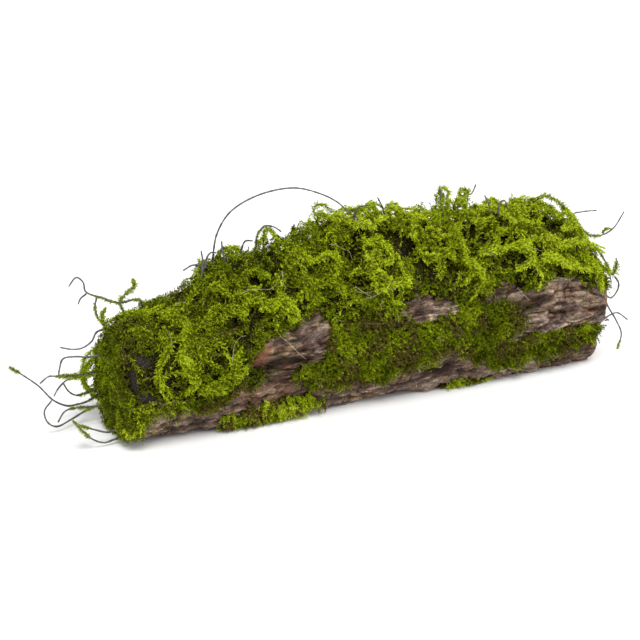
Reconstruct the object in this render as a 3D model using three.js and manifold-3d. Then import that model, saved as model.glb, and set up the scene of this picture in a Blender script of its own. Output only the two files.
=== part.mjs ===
// A sawn length of log with mats of feather moss laid over it and thin wiry stems growing out.
//
// Frame: +X runs along the log towards its plain sawn end, +Z is up, and the log lies on the
// flat of its underside. Round-the-log angles are in degrees: 0 is the front (-Y), 90 the top,
// 180 the back and -90 the underside. Everything is in millimetres.

import * as THREE from 'three';
import { mergeVertices } from 'three/addons/utils/BufferGeometryUtils.js';
import Module from 'manifold-3d';

const wasm = await Module();
wasm.setup();

// Driving dimensions of the log.
const LOG_LENGTH = 480;
const LOG_RADIUS = 54;
const LOG_TAPER = 5;
const AXIS_HEIGHT = 50;
const CROWN = 9;
const END_SHOULDER = 20;
const STATIONS = 30;
const SIDES = 36;

// Driving dimensions of the moss.
const GAP = 0.5;
const MOSS_CLEARANCE = 1;
const MAT_SKIN = 6;
const HEM_SHARE = 0.2;
const CREST_ANGLE = 110;
const HEAP_HEM_FRONT = 30;
const HEAP_HEM_BACK = 190;
const LEFT_HEM_FRONT = -30;
const BACK_SKIRT_DEPTH = 9;
const PILE_DEPTH = 6;
const FRINGE_DEPTH = 5;
const END_CAP_DEPTH = 11;
const END_CAP_LEAST_RIM = 3;
const END_CAP_EXTRA_RIM = 6;
const END_LIP_DEPTH = 10;
const END_LIP_RISE = 4;
const END_LIP_FALL = 8;
const LIP_INNER_RADIUS = 40;

// Driving dimensions of the stems and of the channels that their roots stand in.
const STEM_RADIUS = 0.7;
const STEM_SIDES = 5;
const SLEEVE_RADIUS = 1.8;
const SLEEVE_SIDES = 5;
const SLEEVE_OVERRUN = 1;
const SLEEVE_REACH = 7;

const HALF = LOG_LENGTH / 2;
const CELL = LOG_LENGTH / STATIONS;
const TURN = 360 / SIDES;
const RADIANS = Math.PI / 180;

// The ridge of moss along the top, as its distance from the log's axis at each place along it.
const CREST = [
  [-240, 52],
  [-200, 66],
  [-165, 77],
  [-150, 88],
  [-136, 102],
  [-85, 108],
  [-30, 120],
  [25, 120],
  [60, 107],
  [100, 117],
  [150, 111],
  [205, 106],
  [240, 82],
];

// ---------------------------------------------------------------- shape functions

// A smooth step from 0 to 1 while value goes from low to high.
function smoothStep(low, high, value) {
  const t = Math.min(1, Math.max(0, (value - low) / (high - low)));
  return t * t * (3 - 2 * t);
}

// A bell of height 1 around a centre, in degrees, measured the short way round.
function bell(angle, centre, width) {
  const turn = Math.abs(((angle - centre + 540) % 360) - 180);
  return Math.exp(-((turn / width) ** 2));
}

// A broken line through [place, value] pairs.
function alongLine(pairs, place) {
  for (let i = 1; i < pairs.length; i += 1) {
    const [x1, y1] = pairs[i];
    if (place <= x1) {
      const [x0, y0] = pairs[i - 1];
      return y0 + ((y1 - y0) * (place - x0)) / (x1 - x0);
    }
  }
  return pairs[pairs.length - 1][1];
}

// The log's outside: a round bole with a raised crown, two long ridges on the front with a
// groove between them, a broken ledge of bark where the upper ridge starts, and a worn shoulder
// high on the back of the left end.
function logRadius(x, angle) {
  const bole = LOG_RADIUS + LOG_TAPER * (x / LOG_LENGTH);
  const crown = CROWN * smoothStep(-230, -120, x) * Math.max(0, Math.sin(angle * RADIANS)) ** 2;
  const ridgeStart = smoothStep(-136, -124, x);
  const upperRidge = (1 + 6 * ridgeStart) * bell(angle, 22, 22);
  const ledge = 6 * ridgeStart * (1 - smoothStep(-110, -50, x)) * bell(angle, 30, 14);
  const lowerRidge = 4 * bell(angle, -48, 18);
  const groove = (4 + 5 * smoothStep(60, 160, x)) * bell(angle, -18, 11);
  const backRidge = 5 * bell(angle, 158, 20);
  const backGroove = 5 * bell(angle, 196, 12);
  const shoulder = END_SHOULDER * smoothStep(-185, -240, x) * bell(angle, 150, 45);
  const wobble = 1.4 * Math.sin(x / 47 + 2 * angle * RADIANS);
  const front = upperRidge + ledge + lowerRidge - groove;
  const back = backRidge - backGroove - shoulder;
  return bole + crown + front + back + wobble;
}

// The radius cut off at a height over the flat that the log lies on.
function aboveFloor(radius, angle, floor) {
  const drop = -Math.sin(angle * RADIANS);
  if (drop <= 0) {
    return radius;
  }
  return Math.min(radius, (AXIS_HEIGHT - floor) / drop);
}

// How high the thick moss stands on the log: most at the crown, thin at its two hems.
function heapDepth(x, angle, hemFront, hemBack) {
  const across = Math.min(1, Math.max(0, (angle - hemFront) / (hemBack - hemFront)));
  const arch = HEM_SHARE + (1 - HEM_SHARE) * Math.sin(Math.PI * across);
  const full = alongLine(CREST, x) - logRadius(x, CREST_ANGLE);
  const lumps = 1 + 0.07 * Math.sin(x / 13 + angle / 9) * Math.cos(x / 21 - angle / 14);
  return Math.max(MAT_SKIN, full * arch * lumps);
}

// ---------------------------------------------------------------- solid builders

function onLog(x, angle, radius) {
  const a = angle * RADIANS;
  return [x, -radius * Math.cos(a), AXIS_HEIGHT + radius * Math.sin(a)];
}

function stationsBetween(first, last) {
  const places = [];
  for (let i = 0; i <= Math.round((last - first) / CELL); i += 1) {
    places.push(first + i * CELL);
  }
  return places;
}

function anglesBetween(first, last) {
  const angles = [];
  for (let j = 0; j <= Math.round((last - first) / TURN); j += 1) {
    angles.push(first + j * TURN);
  }
  return angles;
}

function geometryFrom(points, faces) {
  const geometry = new THREE.BufferGeometry();
  geometry.setAttribute('position', new THREE.Float32BufferAttribute(points.flat(), 3));
  geometry.setIndex(faces.flat());
  return geometry;
}

function pushQuad(faces, a, b, c, d) {
  faces.push([a, b, c], [a, c, d]);
}

// The whole bole: a closed skin round the axis with a flat sawn face at each end.
function boleGeometry() {
  const places = stationsBetween(-HALF, HALF);
  const points = [];
  const faces = [];
  for (const x of places) {
    for (let j = 0; j < SIDES; j += 1) {
      const angle = -90 + j * TURN;
      points.push(onLog(x, angle, aboveFloor(logRadius(x, angle), angle, 0)));
    }
  }
  const last = places.length - 1;
  for (let i = 0; i < last; i += 1) {
    for (let j = 0; j < SIDES; j += 1) {
      const next = (j + 1) % SIDES;
      pushQuad(faces, i * SIDES + j, (i + 1) * SIDES + j, (i + 1) * SIDES + next, i * SIDES + next);
    }
  }
  const start = points.length;
  points.push([-HALF, 0, AXIS_HEIGHT], [HALF, 0, AXIS_HEIGHT]);
  for (let j = 0; j < SIDES; j += 1) {
    const next = (j + 1) % SIDES;
    faces.push([start, j, next]);
    faces.push([start + 1, last * SIDES + next, last * SIDES + j]);
  }
  return geometryFrom(points, faces);
}

// How far a slab's point is drawn in: half the gap at its first and last place, else nothing.
function drawnIn(index, count) {
  if (index === 0) {
    return GAP / 2;
  }
  return index === count - 1 ? -GAP / 2 : 0;
}

// A curved slab on the log between two stations and two angles. inner and outer give the
// radius of its two skins, and its rim is drawn in by half the gap on every side.
function slabGeometry(places, angles, inner, outer) {
  const rows = places.length;
  const columns = angles.length;
  const count = rows * columns;
  const outerSkin = [];
  const innerSkin = [];
  places.forEach((x, i) => {
    angles.forEach((angle, j) => {
      const place = x + drawnIn(i, rows);
      const turned = angle + drawnIn(j, columns) / (LOG_RADIUS * RADIANS);
      outerSkin.push(onLog(place, turned, outer(x, angle)));
      innerSkin.push(onLog(place, turned, inner(x, angle)));
    });
  });
  const faces = [];
  const top = (i, j) => i * columns + j;
  const under = (i, j) => count + i * columns + j;
  for (let i = 0; i < rows - 1; i += 1) {
    for (let j = 0; j < columns - 1; j += 1) {
      pushQuad(faces, top(i, j), top(i + 1, j), top(i + 1, j + 1), top(i, j + 1));
      faces.push([under(i, j), under(i, j + 1), under(i + 1, j + 1)]);
      faces.push([under(i, j), under(i + 1, j + 1), under(i + 1, j)]);
    }
  }
  for (let j = 0; j < columns - 1; j += 1) {
    const end = rows - 1;
    pushQuad(faces, top(0, j), top(0, j + 1), under(0, j + 1), under(0, j));
    pushQuad(faces, top(end, j), under(end, j), under(end, j + 1), top(end, j + 1));
  }
  for (let i = 0; i < rows - 1; i += 1) {
    const side = columns - 1;
    pushQuad(faces, top(i, 0), under(i, 0), under(i + 1, 0), top(i + 1, 0));
    pushQuad(faces, top(i, side), top(i + 1, side), under(i + 1, side), under(i, side));
  }
  return geometryFrom([...outerSkin, ...innerSkin], faces);
}

// A moss mat that follows the log's skin between two stations and two angles.
function matGeometry(first, last, low, high, depth) {
  const onBark = (x, angle) => logRadius(x, angle) + GAP;
  const inner = (x, angle) => aboveFloor(onBark(x, angle), angle, MOSS_CLEARANCE);
  const outer = (x, angle) => aboveFloor(onBark(x, angle) + depth(x, angle), angle, MOSS_CLEARANCE);
  return slabGeometry(stationsBetween(first, last), anglesBetween(low, high), inner, outer);
}

// The moss over the left sawn end: flat against the wood and domed outwards in rings, each a
// share of the rim's radius and a depth.
function endCapGeometry() {
  const inside = -HALF - GAP;
  const rings = [
    [1, END_CAP_LEAST_RIM],
    [0.8, END_CAP_DEPTH - 3],
    [0.45, END_CAP_DEPTH],
  ];
  const rim = (angle) => {
    const standing = smoothStep(-60, 20, angle) * smoothStep(240, 180, angle);
    const width = END_CAP_LEAST_RIM + END_CAP_EXTRA_RIM * standing;
    return aboveFloor(logRadius(-HALF, angle) + width, angle, MOSS_CLEARANCE);
  };
  const points = [];
  const faces = [];
  for (let j = 0; j < SIDES; j += 1) {
    const angle = -90 + j * TURN;
    points.push(onLog(inside, angle, rim(angle)));
  }
  for (const [share, depth] of rings) {
    for (let j = 0; j < SIDES; j += 1) {
      const angle = -90 + j * TURN;
      points.push(onLog(inside - depth, angle, rim(angle) * share));
    }
  }
  for (let ring = 0; ring < rings.length; ring += 1) {
    for (let j = 0; j < SIDES; j += 1) {
      const next = (j + 1) % SIDES;
      const a = ring * SIDES;
      const b = a + SIDES;
      pushQuad(faces, b + j, a + j, a + next, b + next);
    }
  }
  const inner = points.length;
  const outer = inner + 1;
  const lastRing = rings.length * SIDES;
  points.push([inside, 0, AXIS_HEIGHT], [inside - END_CAP_DEPTH, 0, AXIS_HEIGHT]);
  for (let j = 0; j < SIDES; j += 1) {
    const next = (j + 1) % SIDES;
    faces.push([inner, next, j]);
    faces.push([outer, lastRing + j, lastRing + next]);
  }
  return geometryFrom(points, faces);
}

// The strands that hang over the right sawn end, as one arched block just past it.
function endLipGeometry() {
  const places = [HALF + GAP / 2, HALF + GAP / 2 + END_LIP_DEPTH];
  const inner = () => LIP_INNER_RADIUS;
  const outer = (x, angle) => {
    const slope = (x - HALF) / END_LIP_DEPTH;
    return logRadius(HALF, angle) + END_LIP_RISE - END_LIP_FALL * slope;
  };
  return slabGeometry(places, anglesBetween(70, 140), inner, outer);
}

// A smooth path through a stem's points.
function stemPath(points) {
  return new THREE.CatmullRomCurve3(points.map((p) => new THREE.Vector3(...p)), false, 'centripetal');
}

function tubeGeometry(path, radius, sides, steps) {
  const section = new THREE.Shape();
  for (let k = 0; k < sides; k += 1) {
    const a = (2 * Math.PI * k) / sides;
    if (k === 0) {
      section.moveTo(radius, 0);
    } else {
      section.lineTo(radius * Math.cos(a), radius * Math.sin(a));
    }
  }
  section.closePath();
  return new THREE.ExtrudeGeometry(section, { steps, bevelEnabled: false, extrudePath: path });
}

// The clear channel that a stem's root stands in: fatter than the stem, and straight from just
// behind the root, through the stem's second point and out of the moss.
function sleeveGeometry(stem) {
  const first = new THREE.Vector3(...stem.points[0]);
  const second = new THREE.Vector3(...stem.points[1]);
  const along = second.clone().sub(first).normalize();
  first.addScaledVector(along, -SLEEVE_OVERRUN);
  second.addScaledVector(along, SLEEVE_REACH);
  return tubeGeometry(new THREE.LineCurve3(first, second), SLEEVE_RADIUS, SLEEVE_SIDES, 1);
}

// ---------------------------------------------------------------- boolean cutting

function toManifold(geometry) {
  const bare = geometry.clone();
  bare.deleteAttribute('normal');
  bare.deleteAttribute('uv');
  const merged = mergeVertices(bare, 1e-4);
  const vertProperties = new Float32Array(merged.attributes.position.array);
  const triVerts = new Uint32Array(merged.index.array);
  return new wasm.Manifold(new wasm.Mesh({ numProp: 3, vertProperties, triVerts }));
}

function fromManifold(solid) {
  const mesh = solid.getMesh();
  const geometry = new THREE.BufferGeometry();
  geometry.setAttribute('position', new THREE.BufferAttribute(mesh.vertProperties, 3));
  geometry.setIndex(new THREE.BufferAttribute(mesh.triVerts, 1));
  return geometry;
}

// A mat with a channel cut for every stem whose sleeve enters it.
function withChannels(geometry, sleeves) {
  let solid = toManifold(geometry);
  for (const sleeve of sleeves) {
    if (solid.intersect(sleeve).volume() > 0) {
      solid = solid.subtract(sleeve);
    }
  }
  return fromManifold(solid);
}

// ---------------------------------------------------------------- the pieces

// The thick mats meet each other end to end along the top of the log. Each mat has its first
// and last station, its lowest and highest angle, and its depth.
function mossMats() {
  const leftHeap = (x, angle) => heapDepth(x, angle, LEFT_HEM_FRONT, HEAP_HEM_BACK);
  const crownHeap = (x, angle) => heapDepth(x, angle, HEAP_HEM_FRONT, HEAP_HEM_BACK);
  const skirt = () => BACK_SKIRT_DEPTH;
  const pile = () => PILE_DEPTH;
  const fringe = () => FRINGE_DEPTH;
  return [
    ['moss_heap_left', matGeometry(-240, -128, -20, 180, leftHeap)],
    ['moss_heap_middle', matGeometry(-128, 64, 40, 180, crownHeap)],
    ['moss_heap_right', matGeometry(64, 240, 40, 180, crownHeap)],
    ['moss_back_skirt', matGeometry(-208, 192, 180, 220, skirt)],
    ['moss_front_band', matGeometry(-64, 112, -40, 30, pile)],
    ['moss_fringe_left', matGeometry(-144, -80, -50, -30, fringe)],
    ['moss_fringe_middle', matGeometry(64, 112, -50, -40, fringe)],
    ['moss_groove_right', matGeometry(128, 224, -50, -10, pile)],
    ['moss_cap_left_end', endCapGeometry()],
    ['moss_lip_right_end', endLipGeometry()],
  ];
}

// Every wiry stem: its steps along the length and its route, root first.
const STEMS = [
  { name: 'stem_arch', steps: 16, points: [
    [-135, 28, 132], [-135, 25, 147], [-133, 20, 166], [-122, 16, 185],
    [-98, 10, 199], [-64, 6, 203], [-40, 2, 196], [-24, -2, 187], [-13, -5, 176],
  ] },
  { name: 'stem_top_curl_left', steps: 8, points: [
    [-96, 19, 146], [-94, 18, 160], [-88, 15, 168], [-81, 12, 167], [-74, 11, 162],
  ] },
  { name: 'stem_top_hook_left', steps: 5, points: [[-113, 15, 146], [-110, 10, 158], [-105, 5, 159]] },
  { name: 'stem_top_sprig_left', steps: 4, points: [[-131, 8, 142], [-133, 9, 153], [-133, 10, 161]] },
  { name: 'stem_shoulder_curl', steps: 5, points: [
    [-152, 4, 140], [-150, 4, 150], [-146, 4, 154], [-141, 4, 153],
  ] },
  { name: 'stem_shoulder_sprig', steps: 4, points: [[-158, -2, 134], [-156, -1, 147], [-157, 0, 158]] },
  { name: 'stem_shoulder_low', steps: 6, points: [
    [-145, 20, 124], [-149, 21, 136], [-156, 23, 138], [-165, 24, 134],
  ] },
  { name: 'stem_middle_sprig', steps: 5, points: [[34, 10, 156], [27, 5, 173], [19, 0, 185]] },
  { name: 'stem_middle_hook', steps: 5, points: [[-1, 12, 162], [3, 6, 176], [11, 0, 179]] },
  { name: 'stem_ball_tail', steps: 6, points: [
    [112, 8, 162], [122, 13, 171], [130, 17, 171], [136, 20, 178],
  ] },
  { name: 'stem_tall_strand', steps: 6, points: [[90, 0, 152], [87, 0, 166], [85, 0, 185]] },
  { name: 'stem_right_spike', steps: 4, points: [[143, 0, 152], [140, 2, 163], [137, 5, 171]] },
  { name: 'stem_right_loop', steps: 6, points: [
    [146, -6, 151], [147, -6, 164], [152, -6, 167], [157, -6, 157],
  ] },
  { name: 'stem_crown_right', steps: 6, points: [
    [228, 0, 126], [237, 3, 139], [253, 11, 138], [277, 20, 134],
  ] },
  { name: 'stem_sweep_right', steps: 10, points: [
    [226, -6, 121], [239, -6, 128], [252, -6, 119], [268, -6, 117], [280, -7, 123], [289, -10, 139],
  ] },
  { name: 'stem_sweep_right_twig', steps: 4, points: [[267, -6, 119], [272, -6, 123], [279, -5, 121]] },
  { name: 'stem_drape_right', steps: 7, points: [
    [230, -28, 113], [241, -31, 115], [250, -34, 104], [255, -37, 92], [258, -39, 79],
  ] },
  { name: 'stem_tuft_right', steps: 6, points: [
    [259, -36, 86], [263, -36, 88], [265, -36, 94], [264, -36, 102],
  ] },
  { name: 'stem_ring_right', steps: 6, points: [
    [262, -39, 84], [266, -40, 77], [264, -41, 70], [256, -42, 64], [250, -40, 69],
  ] },
  { name: 'stem_fall_right', steps: 9, points: [
    [241, -43, 70], [247, -43, 66], [253, -44, 55], [262, -46, 40], [267, -48, 27], [262, -50, 13],
  ] },
  { name: 'stem_rim_hook_right', steps: 6, points: [
    [241, -48, 43], [250, -48, 48], [260, -48, 50], [273, -48, 41],
  ] },
  { name: 'stem_hook_left', steps: 15, points: [
    [-207, 10, 107], [-214, 10, 118], [-232, 10, 118], [-248, 10, 125], [-262, 10, 133],
    [-264, 10, 142], [-270, 10, 147], [-277, 10, 140],
  ] },
  { name: 'stem_hook_left_twig', steps: 4, points: [[-261, 12, 130], [-265, 16, 125], [-266, 20, 119]] },
  { name: 'stem_hook_left_branch', steps: 6, points: [
    [-252, 11, 125], [-255, 8, 118], [-254, 5, 110], [-250, 3, 103],
  ] },
  { name: 'stem_strand_left', steps: 6, points: [
    [-245, -2, 95], [-251, -2, 105], [-252, -2, 113], [-249, -4, 121],
  ] },
  { name: 'stem_shoulder_left', steps: 6, points: [
    [-228, 3, 107], [-233, 4, 120], [-227, 6, 127], [-218, 8, 132], [-219, 9, 139],
  ] },
  { name: 'stem_left_step', steps: 10, points: [
    [-244, 12, 95], [-252, 15, 92], [-256, 18, 83], [-264, 21, 77], [-272, 24, 76], [-282, 28, 78],
  ] },
  { name: 'stem_left_crook', steps: 12, points: [
    [-244, 12, 72], [-259, 14, 70], [-273, 16, 72], [-283, 18, 71],
    [-286, 20, 62], [-286, 22, 54], [-277, 24, 50],
  ] },
  { name: 'stem_left_long', steps: 13, points: [
    [-245, 37, 24], [-259, 31, 21], [-271, 26, 22], [-281, 20, 25], [-295, 14, 35],
    [-310, 7, 54], [-325, 0, 69], [-338, -6, 81],
  ] },
  { name: 'stem_left_mossy', steps: 9, points: [
    [-245, 26, 51], [-262, 23, 51], [-278, 18, 54], [-290, 14, 57], [-299, 12, 59], [-307, 12, 54],
  ] },
  { name: 'stem_left_loop', steps: 12, points: [
    [-244, 28, 18], [-260, 30, 13], [-276, 27, 8], [-291, 22, 6], [-300, 19, 13],
    [-303, 17, 25], [-297, 14, 35],
  ] },
  { name: 'stem_left_low_fork', steps: 7, points: [
    [-245, 18, 21], [-260, 20, 20], [-276, 15, 24], [-287, 10, 24], [-295, 4, 18],
  ] },
  { name: 'stem_left_sprig', steps: 7, points: [
    [-245, 36, 31], [-259, 34, 28], [-269, 31, 29], [-277, 27, 36], [-282, 24, 45],
  ] },
  { name: 'stem_left_droop', steps: 7, points: [
    [-245, 33, 44], [-264, 33, 45], [-276, 33, 44], [-284, 34, 37], [-288, 35, 30],
  ] },
  { name: 'stem_floor_curl', steps: 9, points: [
    [-244, -24, 6], [-253, -25, 5], [-263, -26, 4], [-273, -27, 9], [-281, -28, 17], [-292, -30, 32],
  ] },
  { name: 'stem_floor_sprig', steps: 5, points: [
    [-245, -17, 12], [-256, -19, 10], [-272, -22, 17], [-288, -26, 26],
  ] },
];

// ---------------------------------------------------------------- materials

function barkMaterial() {
  return new THREE.MeshStandardMaterial({ color: 0x6c5d4a, roughness: 0.95, metalness: 0 });
}

function mossMaterial() {
  return new THREE.MeshStandardMaterial({ color: 0x6a7a18, roughness: 0.9, metalness: 0 });
}

function stemMaterial() {
  return new THREE.MeshStandardMaterial({ color: 0x4a4746, roughness: 0.7, metalness: 0 });
}

// ---------------------------------------------------------------- the assembly

function addPiece(group, name, geometry, material) {
  const mesh = new THREE.Mesh(geometry, material);
  mesh.name = name;
  group.add(mesh);
}

// The origin goes under the middle of the whole piece, on the surface that it lies on.
function centreOverOrigin(group) {
  const box = new THREE.Box3().setFromObject(group);
  group.position.x = -(box.min.x + box.max.x) / 2;
  group.position.y = -(box.min.y + box.max.y) / 2;
}

function buildMossyLog() {
  const pieces = new THREE.Group();
  const sleeves = STEMS.map((stem) => toManifold(sleeveGeometry(stem)));
  addPiece(pieces, 'log', boleGeometry(), barkMaterial());
  for (const [name, geometry] of mossMats()) {
    addPiece(pieces, name, withChannels(geometry, sleeves), mossMaterial());
  }
  for (const stem of STEMS) {
    const tube = tubeGeometry(stemPath(stem.points), STEM_RADIUS, STEM_SIDES, stem.steps);
    addPiece(pieces, stem.name, tube, stemMaterial());
  }
  centreOverOrigin(pieces);
  const whole = new THREE.Group();
  whole.add(pieces);
  return whole;
}

export default buildMossyLog();
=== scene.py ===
"""Mossy log: furrowed bark, heaps of feather moss and thin wiry stems.

Shapes are worked out in the log's own frame, in millimetres. Its x runs along the log from the
middle of the bole, angles go round the log in degrees from the front (-Y) over the top (90) to
the back (180), and heights stand up from the bark. `Placement` turns them into metres in the
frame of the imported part.
"""
import logging
import math
from dataclasses import dataclass, field
from enum import Enum, IntEnum

import bpy
import numpy as np
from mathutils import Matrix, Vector


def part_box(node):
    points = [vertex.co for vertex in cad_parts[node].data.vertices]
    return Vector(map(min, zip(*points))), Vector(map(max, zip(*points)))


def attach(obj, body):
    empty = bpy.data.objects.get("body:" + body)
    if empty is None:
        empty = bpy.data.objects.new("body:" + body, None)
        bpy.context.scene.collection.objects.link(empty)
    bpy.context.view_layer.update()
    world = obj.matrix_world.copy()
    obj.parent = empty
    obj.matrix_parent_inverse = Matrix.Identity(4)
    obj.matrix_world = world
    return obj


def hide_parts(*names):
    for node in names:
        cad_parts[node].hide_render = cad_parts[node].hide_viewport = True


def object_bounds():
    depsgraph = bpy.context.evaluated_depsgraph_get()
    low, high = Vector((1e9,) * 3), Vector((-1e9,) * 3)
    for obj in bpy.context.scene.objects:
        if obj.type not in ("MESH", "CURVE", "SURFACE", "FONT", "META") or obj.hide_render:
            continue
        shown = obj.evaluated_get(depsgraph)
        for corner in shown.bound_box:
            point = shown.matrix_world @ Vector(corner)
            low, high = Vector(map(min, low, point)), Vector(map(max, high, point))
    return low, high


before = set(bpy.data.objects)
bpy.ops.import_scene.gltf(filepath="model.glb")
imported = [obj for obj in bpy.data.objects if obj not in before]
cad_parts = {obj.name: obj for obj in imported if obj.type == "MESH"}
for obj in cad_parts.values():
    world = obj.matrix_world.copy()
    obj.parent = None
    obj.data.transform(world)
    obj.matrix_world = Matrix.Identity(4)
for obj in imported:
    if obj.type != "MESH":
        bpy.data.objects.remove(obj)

Array = np.ndarray
Chance = np.random.Generator
Material = bpy.types.Material
Nodes = bpy.types.NodeTree
Socket = bpy.types.NodeSocket
Span = tuple[float, float]
CAD_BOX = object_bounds()
LOG = logging.getLogger("mossy_log")

MM = 0.001
HALF_LENGTH = 240.0
AXIS_HEIGHT = 50.0
CREST_ANGLE = 110.0
BODY = "root"
PALETTE_MAP = "OFBake"


class Slot(Enum):
    """Names of the material slots."""

    BARK = "bark"
    MOSS = "moss"
    STEM = "stem"


class Pattern(IntEnum):
    """The number that picks each noise or cell pattern."""

    MOSS_WARP = 5
    BIG_CLUMPS = 7
    SMALL_CLUMPS = 9
    HEM = 11
    COMBED = 17
    MOSS_TINT = 21
    TUFT_TINT = 23
    TUFT_LENGTH = 27
    WITHERED = 29
    BARK_WARP = 31
    BARK_TWIST = 37
    PLATES = 41
    FLAKES = 53
    SCALES = 59
    FIBRES = 61
    RIBS = 67
    DAMP = 71
    KNOBS = 73
    CHECKS = 87
    OPEN_CHECKS = 89
    SAWN_ROUGH = 91
    SAWN_STAIN = 93
    FELT = 101
    PILE_EDGE = 113
    STEM_KNOBS = 131


# ---- number tools


SEED_FACTOR = 2654435761
AXIS_FACTORS = (374761393, 668265263, 2246822519)
LAST_FACTOR = 3266489917


def smooth_step(low: float, high: float, value: Array) -> Array:
    """Return a smooth rise from 0 to 1 while value goes from low to high.

    Args:
        low: Where the rise starts; it may be above high for a fall.
        high: Where it ends.
        value: The values to map.

    Returns:
        3t² - 2t³ of the share t of the way from low to high.
    """
    share = np.clip((np.asarray(value, float) - low) / (high - low), 0.0, 1.0)
    return share * share * (3.0 - 2.0 * share)


def angle_bell(angle: Array, centre: float, width: float) -> Array:
    """Return a bell of height 1 round a centre angle, measured the short way round.

    Args:
        angle: Angles in degrees.
        centre: The angle of the bell's top.
        width: The turn at which it has fallen to 1/e.

    Returns:
        e to the power of minus the squared turn over the width.
    """
    turn = np.abs((np.asarray(angle) - centre + 540.0) % 360.0 - 180.0)
    return np.exp(-((turn / width) ** 2))


def along_line(pairs: tuple, place: Array) -> Array:
    """Return the height of a broken line through (place, value) pairs."""
    places, values = np.array(pairs, float).T
    return np.interp(place, places, values)


def unit(vectors: Array) -> Array:
    """Return the vectors scaled to length one along their last axis."""
    return vectors / np.maximum(np.linalg.norm(vectors, axis=-1, keepdims=True), 1e-9)


def hash_cells(seed: int, *cells: Array) -> Array:
    """Return one repeatable number from 0 to 1 for each lattice cell.

    Args:
        seed: Picks one of many unrelated patterns.
        cells: Whole-number cell coordinates, one array for each axis.

    Returns:
        The mixed bits of the cell's coordinates, scaled to 0..1.
    """
    bits = np.full(np.broadcast(*cells).shape, (seed * SEED_FACTOR + 97) % 2**32, np.uint32)
    for cell, factor in zip(cells, AXIS_FACTORS):
        bits = (bits ^ (cell.astype(np.int64) % 2**32).astype(np.uint32)) * np.uint32(factor)
        bits ^= bits >> np.uint32(15)
    bits = bits * np.uint32(LAST_FACTOR)
    bits ^= bits >> np.uint32(13)
    return bits.astype(float) / 2**32


def value_noise(points: Array, seed: int) -> Array:
    """Return smooth noise from -1 to 1 at points in space.

    Args:
        points: Coordinates with three numbers in the last axis; one cell is one unit wide.
        seed: The pattern.

    Returns:
        The corner numbers of each point's cell, blended by smoothed distances.
    """
    cell = np.floor(points)
    share = points - cell
    share = share * share * (3.0 - 2.0 * share)
    cell = cell.astype(np.int64)
    total = np.zeros(points.shape[:-1])
    for corner in range(8):
        step = np.array([corner & 1, corner >> 1 & 1, corner >> 2 & 1])
        weight = np.where(step == 1, share, 1.0 - share).prod(-1)
        total += weight * hash_cells(seed, *np.moveaxis(cell + step, -1, 0))
    return 2.0 * total - 1.0


def fractal_noise(points: Array, seed: int, octaves: int = 3) -> Array:
    """Return noise summed over octaves, each half as wide and half as strong as the last.

    Args:
        points: Where it is read, with three numbers in the last axis.
        seed: The pattern of the first octave; the others take the next numbers.
        octaves: How many are summed.

    Returns:
        One number for each point.
    """
    total = np.zeros(points.shape[:-1])
    for octave in range(octaves):
        total += value_noise(points * 2.0**octave, seed + octave) * 0.5**octave
    return total


@dataclass(frozen=True)
class Cells:
    """Irregular cells: how far each point is from its cell's border, and the cell's number."""

    border: Array
    value: Array


def cell_pattern(across: Array, around: Array, period: int, seed: int) -> Cells:
    """Return an irregular cell pattern that closes on itself around the log.

    Args:
        across: The coordinate along the log, one unit to a cell.
        around: The coordinate round it, from 0 to period.
        period: How many cells fit round the log.
        seed: The pattern.

    Returns:
        Each point's distance to its second nearest seed less that to the nearest, and a number
        from 0 to 1 for the nearest seed.
    """
    base_u, base_v = np.floor(across), np.floor(around)
    nearest = np.full(across.shape, 9.0)
    second = np.full(across.shape, 9.0)
    value = np.zeros(across.shape)
    for step_u in (-1, 0, 1):
        for step_v in (-1, 0, 1):
            u, v = base_u + step_u, base_v + step_v
            wrapped = v % period
            seed_u = u + 0.5 + 0.8 * (hash_cells(seed, u, wrapped) - 0.5)
            seed_v = v + 0.5 + 0.8 * (hash_cells(seed + 1, u, wrapped) - 0.5)
            away = np.hypot(seed_u - across, seed_v - around)
            closer = away < nearest
            second = np.where(closer, nearest, np.minimum(second, away))
            value = np.where(closer, hash_cells(seed + 2, u, wrapped), value)
            nearest = np.where(closer, away, nearest)
    return Cells(second - nearest, value)


# ---- the log's shape


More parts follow.
